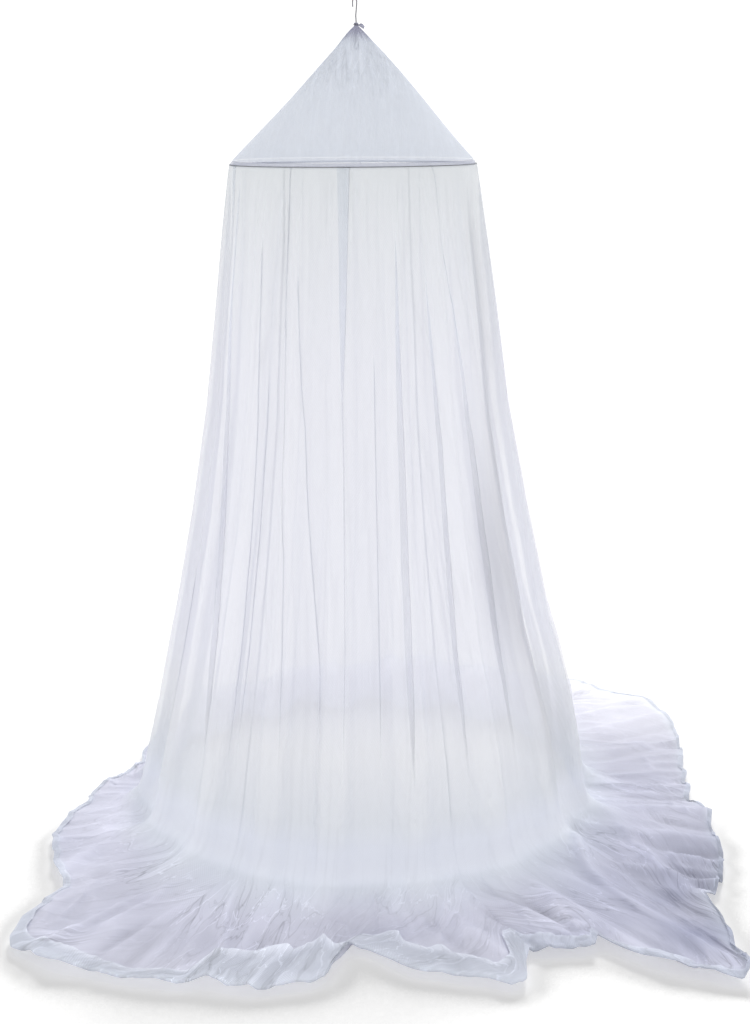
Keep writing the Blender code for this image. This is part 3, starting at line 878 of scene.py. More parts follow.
def foldStrokes(x, y):
    # height and painted light and shade of the long folds at each place
    rise, shade = 0 * x, 0 * x
    folds = list(trainFolds)
    pick = np.random.RandomState(trainLook["softSeed"])
    for turn in range(trainLook["softFolds"]):   # softer ones over the sides and the back
        at = trainLook["softFrom"] + trainLook["softStep"] * turn + pick.uniform(-1.5, 1.5)
        start, sway = pick.uniform(0.58, 0.74), pick.uniform(-4, 4)
        height = pick.uniform(0.005, 0.012) * (1 if turn % 2 else -1)
        path = (at, start), (at + sway, start + 0.2), (at, 1.15)
        folds.append((height, pick.uniform(0.014, 0.026), 6 * height, *path))
    for height, half, paintedLightShade, *path in folds:
        t = np.linspace(0, len(path) - 1, 12)
        at, reach = (easedRows(column(path, i), t) if len(path) > 2
                     else np.interp(t, [0, 1], column(path, i)) for i in range(2))
        px, py = reach * np.sin(np.radians(at)), -reach * np.cos(np.radians(at))
        near, along = np.full(x.shape, 9.0), 0 * x
        for i in range(len(t) - 1):
            ux, uy = px[i + 1] - px[i], py[i + 1] - py[i]
            share = np.clip(((x - px[i]) * ux + (y - py[i]) * uy) / (ux * ux + uy * uy), 0, 1)
            gap = np.hypot(x - px[i] - share * ux, y - py[i] - share * uy)
            along = np.where(gap < near, (i + share) / (len(t) - 1), along)
            near = np.minimum(gap, near)
        raised = hump(near, 0, half) * smooth(along, 0.0, 0.35) * (1 - 0.4 * smooth(along, 0.9, 1.0))
        rise, shade = rise + height * raised, shade + paintedLightShade * raised
    return rise, shade


def crumple(points, rowAt):
    # folds and creases of the cloth lying on the floor, and a ruffled edge
    look = trainLook
    x, y = points[..., 0] - canopySizes["axisX"], points[..., 1]
    reach = np.hypot(x, y) + 1e-6
    cx, cy = x / reach, y / reach
    low = smooth(rowAt, *look["startRows"])[:, None]
    edge = smooth(rowAt, *look["edgeRows"])[:, None]
    rise, shade = foldStrokes(x, y)
    warp = 0.5 * softNoise(cx * 5, cy * 5, reach * 3, 11)
    big, small, facet = look["ridgeScale"], look["creaseScale"], look["crumpleScale"]
    ridge = (1 - np.abs(softNoise(cx * big + warp, cy * big - warp, reach * 1.3, 5))) ** 3
    thin = (1 - np.abs(softNoise(cx * small + warp * 2, cy * small, reach * 3 + warp, 6))) ** 4
    degrees = np.degrees(np.arctan2(x, -y))
    calmLeft = 1 - look["calmShare"] * hump(degrees, look["calmAngle"], look["calmHalf"])
    facets = (1 - np.abs(softNoise(x * facet + 2 * warp, y * facet, 0.7, 25))) ** 4
    patch = look["crumplePatch"]
    patches = smooth(softNoise(x * patch, y * patch, 0.2, 26), -0.5, 0.3)
    crumpled = smooth(rowAt, *look["crumpleRows"])[:, None] * patches * facets
    points[..., 2] += low * calmLeft * (look["ridgeHeight"] * ridge + look["creaseHeight"] * thin + rise)
    points[..., 2] += look["crumpleHeight"] * crumpled
    # out to the finished hem, with a frilled edge
    ruffle = softNoise(cx * look["ruffleScale"], cy * look["ruffleScale"], edge * 1.3, 21)
    frill = softNoise(cx * look["frillScale"], cy * look["frillScale"], edge * 1.5, 22)
    at = (np.degrees(np.arctan2(x[-1], -y[-1])) + 47.0) % 360.0 - 47.0
    short = fromRows(hemReach, at, 1) - hemLook["roll"] - reach[-1]
    push = smooth(rowAt, *look["pushRows"])[:, None] * short
    push = push + edge * (look["ruffle"] * ruffle + look["frill"] * frill)
    # the cloth bunches up in a ball at the right tip
    away = np.hypot(x - look["knotAt"][0], y - look["knotAt"][1])
    knot = np.exp(-(away / look["knotHalf"]) ** 2)
    lump = np.abs(softNoise(x * look["knotScale"], y * look["knotScale"], 1.0, 24))
    points[..., 2] += knot * (look["knotRise"] + look["knotLump"] * lump)
    points[..., 0] += cx * push
    points[..., 1] += cy * push
    puff = smooth(rowAt, *look["puffRows"])[:, None] * look["puffHeight"] * (0.6 + 0.4 * ruffle)
    facing = np.clip(0.1 + 1.1 * np.cos(np.arctan2(x, -y)), 0.12, 1)
    ruffled = 0.006 * np.abs(softNoise(cx * 18, cy * 18, edge, 23)) + 0.005 * np.abs(frill)
    points[..., 2] += facing * (puff + edge * ruffled)
    # painted light and shade: ridges, crumpled facets and the ball's lumps and rings lighter, creases
    # darker, with the long folds' own
    rings = np.cos(away * 2 * np.pi / look["knotRing"] + 2 * lump)
    paintedLightShade = calmLeft * (0.03 * (ridge - 0.5) - 0.03 * (thin - 0.3) + shade)
    paintedLightShade = low * paintedLightShade + 0.09 * (crumpled - 0.15 * patches) * low
    return paintedLightShade + knot * (0.20 * lump - 0.04 + 0.05 * rings)


# colour of the threads down the net, as rows in netRows, with painted light and shade worked into it
netColoursAndShade = [
    (0, 0.64, 0.665, 0.692), (1, 0.65, 0.675, 0.702), (2, 0.676, 0.696, 0.738), (3.2, 0.71, 0.72, 0.787),
    (5.5, 0.752, 0.762, 0.838), (6.2, 0.756, 0.768, 0.808), (7, 0.742, 0.768, 0.812),
    (7.4, 0.79, 0.818, 0.892), (7.8, 0.778, 0.803, 0.878), (8.2, 0.77, 0.802, 0.882),
    (8.6, 0.696, 0.728, 0.804), (9.6, 0.658, 0.678, 0.768), (11, 0.61, 0.615, 0.72),
    (14.5, 0.6, 0.605, 0.7), (16, 0.65, 0.68, 0.76),
]

# how many times closer the threads lie than in flat net: row, then at each angle round from the front
gatherAngles = (0, 40, 80, 115, 150, 210, 260, 310, 360)
netGathers = [
    (0, 4, 4.4, 2.2, 1.6, 1.8, 1.8, 1.8, 3.8), (2, 3.6, 3.8, 1.6, 1.4, 1.4, 1.4, 1.2, 3.4),
    (3.5, 3.2, 3.2, 1.3, 1, 1, 1, 1, 3), (5.5, 3.4, 3.2, 1.2, 1, 0.9, 0.9, 1, 3),
    (6.2, 4, 3, 1.2, 1, 0.9, 0.9, 1, 3.2), (7, 6, 4.4, 2, 1.4, 1.2, 1.2, 1.8, 4.6),
    (7.8, 8, 6.5, 3.2, 2, 1.8, 1.8, 2.8, 6.5), (8.6, 8, 8, 5, 3, 2.6, 2.6, 4.2, 8),
    (10, 8, 8, 7, 3.6, 3, 3, 6, 8), (13, 8, 9, 8, 4, 3.4, 3.4, 7, 8), (16, 8, 10, 8, 4.2, 3.8, 3.8, 7, 8),
]

# painted shade and light in patches over the train: amount (above 0 darker, below 0 lighter), degrees, half
# width, reach, half depth
trainShadePatches = [
    (0.2, 29, 5, 0.94, 0.05), (0.13, 27, 5, 0.85, 0.05), (-0.08, 33, 4, 0.83, 0.03),
    (0.08, 34, 5, 0.96, 0.04), (0.09, 5, 6, 0.79, 0.05), (0.1, -40, 9, 0.95, 0.16),
    (0.26, 43.5, 4, 1.1, 0.09), (0.05, 38.5, 3.5, 1.13, 0.07), (-0.14, 52.5, 3.8, 1.04, 0.06),
    (0.14, 51, 5, 0.96, 0.05), (0.08, 39, 4, 0.93, 0.05), (0.13, 43, 9, 0.8, 0.09),
    (0.1, -20, 10, 0.88, 0.09), (0.1, 6, 10, 0.79, 0.06), (0.06, -62, 10, 0.76, 0.08),
    (0.1, 93, 8, 0.8, 0.12), (-0.05, 76, 7, 0.84, 0.06), (0.09, -66, 14, 0.82, 0.09),
    (-0.07, -72, 22, 0.6, 0.09), (0.08, 64, 12, 0.68, 0.07),
]

# where the train lies smoother: amount, degrees, half width
smoothParts = [
    (0.45, 108, 26), (0.5, -82, 24), (0.45, 0, 10), (0.5, 18, 8),
]

# painted light and shade, and closer thread, over the whole skirt: sides and shares are front, right, back
# and left, rows are those of netRows
skirtLook = {
    "sideAngles": (0, 78, 180, 270),
    "floorRows": (7.5, 10.0),
    "floorShadeTint": (1.0, 0.97, 0.82),
    "rightAngle": 58,
    "rightHalf": 24,
    "rightReach": (0.6, 0.95),
    "rightShadeDepth": 0.31,
    "sideShade": 0.03,
    "backShade": -0.06,
    "behindRange": (0.25, 0.7),
    "behindPale": 0.20,
    "behindPaler": 0.26,
    "behindReach": (0.72, 0.98),
    "behindHem": 0.28,
    "behindHemRows": (15.3, 15.9),
    "hangingFrom": (1.0, 2.5),
    "hangingTo": (6.4, 7.6),
    "bandHalf": 8,
    "bandShade": 0.23,
    "bandGather": 1.0,
    "leftAngle": -52,
    "leftHalf": 14,
    "leftShade": -0.03,
    "leftGather": 0.15,
    "creaseRows": (7.4, 10.0),
    "ballAngle": 41.5,
    "ballReach": 1.22,
    "topSeam": (0.68, 0.94),
    "topLineDark": 0.72,
    "seamLap": 0.005,
    "seamGap": 0.0006,
}


def gatherOf(rowAt, angle):
    around = [fromRows(netGathers, rowAt, i + 1)[:, None] for i in range(8)]
    around.append(around[0])
    total, degrees = 0, np.degrees(angle) % 360
    for low, high, first, second in zip(gatherAngles, gatherAngles[1:], around, around[1:]):
        share = smooth(degrees, low, high)
        total = total + ((degrees >= low) & (degrees < high)) * (first * (1 - share) + second * share)
    return total


def sideShares(angle):
    # how far each point is to the front, right, back and left, adding up to 1
    shares = [np.clip(np.cos(angle - math.radians(at)), 0, 1) ** 2 for at in skirtLook["sideAngles"]]
    total = sum(shares)
    return [share / total for share in shares]


def skirtCloth(points, rowAt, shade):
    # gather, crease and tint of every point of the skirt, the tint with painted light and shade in it
    look = skirtLook
    angle = angleRound(points)
    degrees = np.degrees(angle)
    reach = np.hypot(points[..., 0] - canopySizes["axisX"], points[..., 1])
    front, right, back, left = sideShares(angle)
    # painted shade over the train: darker on the right, the right side a little darker and the back a
    # little lighter, with the painted patches
    rightPaintedShade = hump(degrees, look["rightAngle"], look["rightHalf"])
    rightPaintedShade = rightPaintedShade * (0.35 + 0.65 * smooth(reach, *look["rightReach"]))
    floorPaintedShade = look["rightShadeDepth"] * rightPaintedShade + look["sideShade"] * right + look["backShade"] * back
    for amount, at, halfTurn, far, half in trainShadePatches:
        floorPaintedShade += amount * np.exp(-((degrees - at) / halfTurn) ** 2 - ((reach - far) / half) ** 2)
    # the back train is painted paler, or it would show through the front as a dark ring, but its hem is
    # painted darker, so it shows
    behind = smooth(-np.cos(np.radians(degrees)), *look["behindRange"])
    pale = look["behindPale"] + look["behindPaler"] * smooth(reach, *look["behindReach"])
    floorPaintedShade = floorPaintedShade * (1 - behind) - behind * pale
    floorPaintedShade = floorPaintedShade + look["behindHem"] * behind * smooth(rowAt, *look["behindHemRows"])[:, None]
    # painted shade in a band down the right of the hanging net, where the thread also lies closer; the left
    # band, where the thread lies a little closer too, and the right side are painted a little lighter
    hanging = (smooth(rowAt, *look["hangingFrom"]) * (1 - smooth(rowAt, *look["hangingTo"])))[:, None]
    bandAt = 64 - 10 * hump(rowAt, 4.8, 1.0)[:, None]
    rightBand = hump(degrees, bandAt, look["bandHalf"])
    leftBand = hump(degrees, look["leftAngle"], look["leftHalf"])
    hangingPaintedShade = look["bandShade"] * rightBand + look["leftShade"] * leftBand - look["sideShade"] * right
    closer = look["bandGather"] * rightBand + look["leftGather"] * leftBand
    gather = gatherOf(rowAt, angle) * (1 + hanging * closer)
    floorShare = smooth(rowAt, *look["floorRows"])[:, None]
    # the floor part's painted shade is bluer where darker; the hanging part's painted shade and the folds'
    # painted light and shade go on top
    paintedDim = 1 - (floorShare * floorPaintedShade)[..., None] * np.array(look["floorShadeTint"])   # darker cloth is bluer too
    paintedDim = paintedDim * ((1 - hanging * hangingPaintedShade) * (1 + shade))[..., None]
    tint = np.stack([fromRows(netColoursAndShade, rowAt, i) for i in (1, 2, 3)], axis=1)[:, None, :] * paintedDim
    # some of the floor part is smooth, some crumpled, and the far right lies smoother
    patches = smooth(softNoise(points[..., 0] * 6, points[..., 1] * 6, 0.3, 62), -0.35, 0.45)
    crease = smooth(rowAt, *look["creaseRows"])[:, None] * (0.30 + 0.75 * patches)
    for less, at, halfTurn in smoothParts:
        crease = crease * (1 - less * hump(degrees, at, halfTurn))
    ball = np.exp(-((degrees - look["ballAngle"]) / 2.2) ** 2 - ((reach - look["ballReach"]) / 0.05) ** 2)
    return gather, crease + 1.2 * ball, tint


# narrow pleats and doubled strips in the hanging net, each as (row, phase, width in metres) down it
pleatRows = (
    ((0.3, -0.3, 0.0032), (1.6, -0.34, 0.0032), (2.6, -0.36, 0.003), (3.9, -0.2, 0.003),
     (4.6, -0.02, 0.003), (6.2, 0.1, 0.003)),
    ((2.2, -0.99, 0.003), (3.9, -0.84, 0.003), (4.7, -0.8, 0.0032), (6.4, -0.76, 0.004)),
    ((3.4, -0.67, 0.0028), (5.4, -0.64, 0.0028)),
    ((2.5, 0.01, 0.0028), (3.3, 0.14, 0.0028), (3.7, 0.28, 0.003), (4.6, 0.47, 0.0032), (6, 0.78, 0.004)),
    ((0, 1.02, 0.034), (2.6, 1.03, 0.017), (3.4, 1.03, 0.004), (3.9, 1.06, 0.0028), (5.4, 1.1, 0.0028)),
    ((2.2, 2.13, 0.0034), (2.9, 2.1, 0.011), (3.7, 2.1, 0.02), (4.6, 2.06, 0.019), (6.6, 2, 0.012)),
    ((0.3, 3.1, 0.003), (1.9, 3.21, 0.003), (2.7, 3.5, 0.0036), (3.3, 3.62, 0.008), (3.8, 3.66, 0.016),
     (4.8, 3.64, 0.019), (6.4, 3.58, 0.008)),
    ((2.2, 4.16, 0.012), (2.9, 4.22, 0.026), (3.8, 4.34, 0.038), (4.9, 4.44, 0.042), (7, 4.44, 0.03)),
    ((3.2, 1.64, 0.0028), (4.6, 1.63, 0.0028), (6.2, 1.6, 0.0034)),
    ((2.6, 2.79, 0.003), (3.7, 2.86, 0.013), (4.7, 2.81, 0.017), (6.8, 2.72, 0.012)),
    ((1.5, -1.95, 0.0034), (2.7, -1.91, 0.0066), (3.8, -1.78, 0.014), (4.8, -1.62, 0.017),
     (6.8, -1.4, 0.024)),
    ((0.2, -2.4, 0.021), (2.6, -2.42, 0.031), (3.8, -2.42, 0.041), (4.8, -2.42, 0.037),
     (6.4, -2.44, 0.03)),
    ((5, -2.08, 0.0034), (6.2, -2.1, 0.005), (7, -2.14, 0.005)),
    ((0.3, 5.05, 0.003), (3, 5.1, 0.004), (6.6, 5, 0.018)),
    ((1, 5.95, 0.003), (3.5, 6, 0.02), (6.6, 6.1, 0.03)),
    ((2.6, 6.6, 0.003), (4, 6.62, 0.004), (6.4, 6.7, 0.006)),
    ((0.3, 7.2, 0.016), (3, 7.25, 0.006), (4.2, 7.3, 0.003), (6, 7.34, 0.003)),
    ((1.8, 7.9, 0.003), (4, 7.95, 0.014), (6.8, 8.02, 0.022)),
    ((0.3, 9, 0.003), (3, 9.05, 0.003), (6.4, 9.15, 0.004)),
    ((2.4, 9.5, 0.003), (4, 9.52, 0.012), (6.6, 9.56, 0.018)),
    ((0, 10.1, 0.028), (2.8, 10.12, 0.012), (4, 10.12, 0.003), (6, 10.16, 0.003)),
    ((1.2, 10.8, 0.003), (4.4, 10.84, 0.004), (6.8, 10.9, 0.016)),
    ((0.3, 12, 0.003), (3, 12.1, 0.014), (6.8, 12.2, 0.03)),
    ((2.8, 12.7, 0.003), (5, 12.74, 0.004), (6.6, 12.8, 0.005)),
    ((0.3, 13.4, 0.018), (3.2, 13.45, 0.03), (6.6, 13.5, 0.036)),
    ((1.6, 14.05, 0.003), (4.2, 14.1, 0.012), (6.8, 14.14, 0.02)),
)

pleatLook = {
    "room": 0.004,
    "gap": 0.0008,
    "endRows": (5.4, 6.9),
    "wideFrom": 0.01,
    "steps": (9, 18),
    "thinWidths": (0.005, 0.020),
    "thin": (0.30, 0.66),
    "tint": (0.07, 0.10, 0.15),
    "tintRows": (2.8, 3.8),
}


def pleatPhase(pleat):
    middle = pleat[len(pleat) // 2][1]
    return middle if middle > -0.5 else middle + len(foldRows)


def goreColumns(first, last, rowAt, pitch):
    # phases of one gore's columns on every row, with the pleats doubled back, then how far each column
    # stands off and how thin it is
    blank = np.zeros((len(rowAt), 1))
    blocks = []
    for pleat in sorted([p for p in pleatRows if first < pleatPhase(p) < last], key=pleatPhase):
        at, phase, width = (np.array([knot[i] for knot in pleat]) for i in range(3))
        on = smooth(rowAt, at[0] - 0.35, at[0] + 0.1) * (1 - smooth(rowAt, *pleatLook["endRows"]))
        middle = np.interp(rowAt, at, phase) + pleatPhase(pleat) - pleat[len(pleat) // 2][1]
        half = 0.5 * np.interp(rowAt, at, width) / pitch
        flat = pleatLook["room"] / pitch
        t = np.linspace(0, 1, pleatLook["steps"][int(width.max() >= pleatLook["wideFrom"])] + 1)
        zig, run = -np.cos(3 * np.pi * t), 2 * t - 1
        place = middle[:, None] + (1 - on)[:, None] * flat[:, None] * run + (on * half)[:, None] * zig
        off = on[:, None] * pleatLook["gap"] * (3 * t - 1.5)
        # wide pleats are of thinner net than the narrow ones, which read as lines
        thin = np.interp(width.max(), pleatLook["thinWidths"], pleatLook["thin"])
        blocks.append((place, off, on[:, None] * thin * np.sin(np.pi * t) ** 0.3))
    made = []
    left, leftOff = blank[:, 0] + first, blank[:, 0]
    for place, off, thin in blocks + [(blank + last, blank, blank)]:
        right, rightOff = place[:, 0], off[:, 0]
        count = max(2, int(round((right - left).mean() * netLook["stepsPerFold"] * 2)))
        q = np.arange(1 if made else 0, count)[None, :] / count
        between = left[:, None] + (right - left)[:, None] * q
        settled = leftOff[:, None] * np.clip(1 - 4 * q, 0, 1) + rightOff[:, None] * np.clip(4 * q - 3, 0, 1)
        made += [(between, settled, 0 * between), (place, off, thin)]
        left, leftOff = place[:, -1], off[:, -1]
    return tuple(np.concatenate(parts, axis=1) for parts in zip(*made))


def alongRows(grid, place):
    # values of the closed rows at fractional columns
    count = grid.shape[1]
    low = np.floor(place).astype(int)
    share = place - low
    if grid.ndim == 3:
        share = share[..., None]
    row = np.arange(len(grid))[:, None]
    return grid[row, low % count] * (1 - share) + grid[row, (low + 1) % count] * share


# the hem turned back over itself: degrees round from the front, width turned back
hemFolds = [
    (0, 0.05), (3, 0.09), (9, 0.12), (15, 0.11), (19, 0.09), (23, 0.1), (26, 0.05), (33, 0.034),
    (35, 0.03), (38, 0.024), (41, 0.03), (44, 0.022), (50, 0.01), (62, 0.018), (75, 0.012), (90, 0.016),
    (110, 0.01), (135, 0.01), (160, 0.008), (185, 0.008), (210, 0.008), (235, 0.008), (260, 0.012),
    (285, 0.014), (300, 0.016), (312, 0.02), (318, 0.04), (324, 0.05), (334, 0.045), (341, 0.05),
    (344, 0.14), (348, 0.17), (352, 0.18), (356, 0.16), (358, 0.1), (360, 0.05),
]

hemLook = {
    "roll": 0.004,
    "rollTurns": (40, 80, 120, 155),
    "steps": 11,
    "spacing": 0.005,
    "widthSwing": 0.25,
    "evenSpan": 13,
    "ruffle": 0.007,
    "slide": 0.2,
    "gather": 3.0,
    "crease": 1.4,
    "light": 1.03,
    "crinkle": 0.06,
}

# painted highlights and shade on the turned hem over its rows, from the outer edge in
hemHighlights = [(0, 1.10), (3, 1.16), (5, 1.02), (11, 0.97), (13, 1.12), (14, 1.24)]


def turnHem(part, angle):
    # the hem rolled up and laid back over the train
    width = fromRows(hemFolds, np.degrees(angle) % 360, 1)
    width = width * (1 + hemLook["widthSwing"] * ringNoise(angle, 20, 0.5, 31))
    edge = part[-1]
    out = edge - part[-4]
    out[:, 2] = 0
    out = unit(out)
    # evened out along the edge, whatever the columns' spacing
    run = np.concatenate([[0], np.cumsum(np.linalg.norm(np.diff(edge, axis=0), axis=1))])
    even = np.linspace(0, run[-1], int(run[-1] / hemLook["spacing"]) + 2)
    span = hemLook["evenSpan"]
    for i in range(2):
        level = np.pad(np.interp(even, run, out[:, i]), span // 2, mode="edge")
        out[:, i] = np.interp(run, even, np.convolve(level, np.ones(span) / span, mode="valid"))
    roll = hemLook["roll"] * np.clip(width / 0.05, 0.35, 1.0)
    rows = []
    for turn in hemLook["rollTurns"]:
        a = math.radians(turn)
        rows.append(edge + roll[:, None] * (out * math.sin(a) + np.array([0, 0, 1 - math.cos(a)])))
    steps = hemLook["steps"]
    spacing = np.linalg.norm(part[-1] - part[-2], axis=1).mean()
    cols = np.arange(part.shape[1])
    for k in range(1, steps + 1):
        back = width * k / steps
        place = edge + out * (roll * 0.4 - back)[:, None]
        under = np.clip(back / spacing, 0, len(part) - 2)
        low = np.floor(under).astype(int)
        share = under - low
        bed = part[-1 - low, cols, 2] * (1 - share) + part[-2 - low, cols, 2] * share
        wrinkle = softNoise(place[:, 0] * 28, place[:, 1] * 28, 2.0, 33)
        ruffled = hemLook["ruffle"] * np.clip(width / 0.04, 0.2, 1.0) * np.abs(wrinkle)
        lift = roll * 1.8 * (1 - 0.55 * k / steps) + ruffled * (0.4 + 0.6 * k / steps)
        place[:, 2] = np.maximum(bed, edge[:, 2]) + lift
        sway = softNoise(place[:, 0] * 16, place[:, 1] * 16, 4.0, 34)
        slide = hemLook["slide"] * np.minimum(width, 0.05) * sway * k / steps
        place[:, :2] -= out[:, :2] * slide[:, None]
        rows.append(place)
    return np.stack(rows, axis=0), np.clip(width / 0.06, 0.25, 1.0)


def addHem(part, flow, bent, colour):
    # the turned hem's rows below a gore's own, painted a little lighter, with painted highlights and shade
    # over its rows and painted light and shade in its crinkles
    angle = angleRound(part[-1])
    turned, strength = turnHem(part, angle)
    count = len(turned)
    hemFlow = np.repeat(np.minimum(flow[-1:], hemLook["gather"]), count, axis=0)
    hemBent = np.maximum(bent[-1:], 0.75) * hemLook["crease"] * (0.5 + 0.5 * strength)
    crinkle = ringNoise(angle, 30, np.linspace(0, 0.8, count)[:, None], 35)
    edgeHighlight = fromRows(hemHighlights, np.arange(count), 1)[:, None]
    hemColour = np.repeat(colour[-1:], count, axis=0) * hemLook["light"]
    hemColour *= (1 + (edgeHighlight - 1) * strength + hemLook["crinkle"] * crinkle * strength)[..., None]
    added = (turned, hemFlow, np.repeat(hemBent, count, axis=0), hemColour)
    return [np.concatenate(pair, axis=0) for pair in zip((part, flow, bent, colour), added)]


# the six gores and the solids they stand for, from the front round by the right
gores = {
    "netFront": "net_front",
    "netRightFront": "net_right_front",
    "netRightBack": "net_right_back",
    "netBack": "net_back",
    "netLeftBack": "net_left_back",
    "netLeftFront": "net_left_front",
}


def makeSkirt(floor, material):
    rows, points = drapeNet(floor)
    points = finer(easeFolds(calm(points, rows), rows))
    rowAt = np.interp(np.arange(len(points)) / 2.0, np.arange(len(rows)), rows)
    shade = crumple(points, rowAt)
    # the top edge is sewn on under the band, and is darker along a narrow line at the top
    cut = np.array(skirtLook["topSeam"])
    points = np.concatenate([points[:1] + (points[1:2] - points[:1]) * cut[:, None, None], points[1:]])
    shade = np.concatenate([shade[:1], shade])
    shade[:2] -= skirtLook["topLineDark"]
    rowAt = np.concatenate([rowAt[0] + (rowAt[1] - rowAt[0]) * cut, rowAt[1:]])
    points[..., 2] = np.maximum(points[..., 2], netLook["liftOff"] - canopySizes["hangHeight"])
    across = np.roll(points, -1, axis=1) - np.roll(points, 1, axis=1)
    normals = unit(np.cross(across, np.gradient(points, axis=0)), 1e-12)
    gather, crease, tint = skirtCloth(points, rowAt, shade)
    perPhase = points.shape[1] / len(foldRows)
    pitch = np.linalg.norm(np.roll(points, -1, axis=1) - points, axis=2).sum(axis=1) / len(foldRows)
    perGore = len(foldRows) // len(gores)
    for i, (name, node) in enumerate(gores.items()):
        phases, offs, thins = goreColumns(perGore * i - 0.5, perGore * (i + 1) - 0.5, rowAt, pitch)
        place = (phases + 0.5) * perPhase
        part, out, flow, bent, colour = (alongRows(grid, place)
                                         for grid in (points, normals, gather, crease, tint))
        part = part + out * offs[..., None]
        flow = flow * (1 - thins)
        # the doubled strips are painted lighter and bluer high up, against the shade of their extra layers
        paintedStripLight = thins * (1 - smooth(rowAt, *pleatLook["tintRows"]))[:, None]
        colour = colour * (1 + paintedStripLight[..., None] * np.array(pleatLook["tint"]))
        # the seam's lap past the next gore's edge
        beyond = unit(part[:, -1] - part[:, -2])
        lap = part[:, -1] + beyond * skirtLook["seamLap"] + out[:, -1] * skirtLook["seamGap"]
        part = np.concatenate([part, lap[:, None]], axis=1)
        flow, bent, colour = (np.concatenate([field, field[:, -1:]], axis=1)
                              for field in (flow, bent, colour))
        part, flow, bent, colour = addHem(part, flow, bent, colour)
        gore = sheetFrom(name, part, material, flow, bent, colour)
        standFor(gore, node)
    say("six gores made")


# the cap with its neck
capLook = {
    "columns": 480,
    "rows": 110,
    "edgeOut": 0.0034,
    "edgeUp": 0.0112,
    "neckRadius": 0.0044,
    "neckRise": 0.0135,
    "waistRise": 0.0105,
    "shoulder": 0.0065,
    "sag": 0.003,
    "lean": 0.0055,
    "pleatHeight": 0.0016,
    "neckPleats": (23, 11),
    "gather": 1.85,
    "neckGather": 0.035,
    "edgeGather": 0.10,
    "lineGather": 0.35,
    "lineShade": 0.14,
    "crestHighlight": 0.06,
    "neckFade": (0.009, 0.046),
    "colour": (0.600, 0.640, 0.720),
    "neckShadedColour": (0.340, 0.345, 0.450),
}


def fullTurn(cols):
    return (2 * np.pi * np.arange(cols + 1) / cols - np.pi)[None, :]


def makeCap(material):
    hoop, top = canopySizes["hoopHeight"], canopySizes["apexHeight"]
    baseRadius = canopySizes["hoopRadius"] + capLook["edgeOut"] - bandLook["lean"]
    baseZ, shoulder, neck = hoop + capLook["edgeUp"], top + capLook["shoulder"], capLook["neckRadius"]
    a = fullTurn(capLook["columns"])
    radius = neck + (baseRadius - neck) * np.linspace(0, 1, capLook["rows"] + 1) ** 1.3
    height = baseZ + (shoulder - baseZ) * (baseRadius - radius) / (baseRadius - neck)
    radius = np.concatenate([[neck + 0.0006, neck + 0.0001, neck - 0.0002], radius + 0.0004])
    neckHeights = [top + capLook["neckRise"], top + capLook["waistRise"], shoulder + 0.0012]
    height = np.concatenate([neckHeights, height])
    r, z = radius[:, None], height[:, None]
    # creases fan out from the neck and die away half way down
    warp = 0.3 * ringNoise(a, 3, r * 25, 41)
    fan = softNoise(np.cos(a) * 7 + warp, np.sin(a) * 7, r * 9, 42)
    fine = softNoise(np.cos(a) * 16 + warp, np.sin(a) * 16, r * 22, 43)
    reach = smooth(r, neck, 0.03) * (1 - smooth(r, 0.07 + 0.07 * np.abs(fan), 0.19))
    fold, thin = (1 - np.abs(fan)) ** 4, (1 - np.abs(fine)) ** 5
    near = 1 - smooth(r, 0.01, 0.07)
    many, few = capLook["neckPleats"]
    pleats = np.cos(many * a + 3 * warp) * near * smooth(r, neck, 0.02)
    pleats = pleats + 0.5 * np.cos(few * a) * near * smooth(r, neck, 0.012)
    r = r + capLook["pleatHeight"] * (1.2 * fold * reach + 0.7 * pleats + 0.5 * thin * reach)
    r = r - capLook["sag"] * np.sin(np.pi * np.clip((r - neck) / (baseRadius - neck), 0, 1))
    share = np.clip((z - baseZ) / (top - baseZ), 0, 1)
    x, y, up = placeAll(r * np.sin(a), -r * np.cos(a), z + 0 * r)
    rightSide = np.clip(np.sin(a), 0, 1) * smooth(share, 0.1, 0.6) * (1 - smooth(share, 0.66, 0.94))
    lean = capLook["lean"] * (0.6 * smooth(share, 0, 0.5) * (1 - smooth(share, 0.85, 1.0)) + rightSide)
    x = x + (canopySizes["apexX"] - canopySizes["axisX"]) * share + lean
    lines = np.clip(thin * 0.6 + 0.3 * fold - 0.1, 0, 1) * reach
    gather = capLook["gather"] + capLook["neckGather"] / np.maximum(radius, 0.008)[:, None]
    gather = gather * (1 + capLook["lineGather"] * lines)
    gather = gather * (1 + capLook["edgeGather"] * smooth(radius[:, None], 0.24, 0.29))
    # darker towards the neck: painted shade among its tight pleats
    tip = 1 - smooth(radius, *capLook["neckFade"])[:, None]
    tint = np.array(capLook["colour"]) * (1 - tip) + np.array(capLook["neckShadedColour"]) * tip
    # painted shade on the crease lines and painted highlights on the fan's crests
    light = 1 - capLook["lineShade"] * lines + capLook["crestHighlight"] * np.clip(fan, 0, 1) * reach
    cap = sheetFrom("capCone", np.stack([x, y, up], axis=2), material, gather, 0.55 * reach + 0.20 + 0 * a,
                    tint[:, None, :] * light[..., None])
    weld(cap, 2e-6)
    standFor(cap, "cap")


bandLook = {
    "columns": 720,
    "wall": 0.0033,
    "rise": 0.0095,
    "pucker": 0.0004,
    "puckers": 160,
    "colour": (0.630, 0.650, 0.740),
    "gather": 2.3,
    "lean": 0.0055,
    "undersideShade": 0.15,
    "topLineDark": 0.06,
    "gatherDark": 0.08,
}


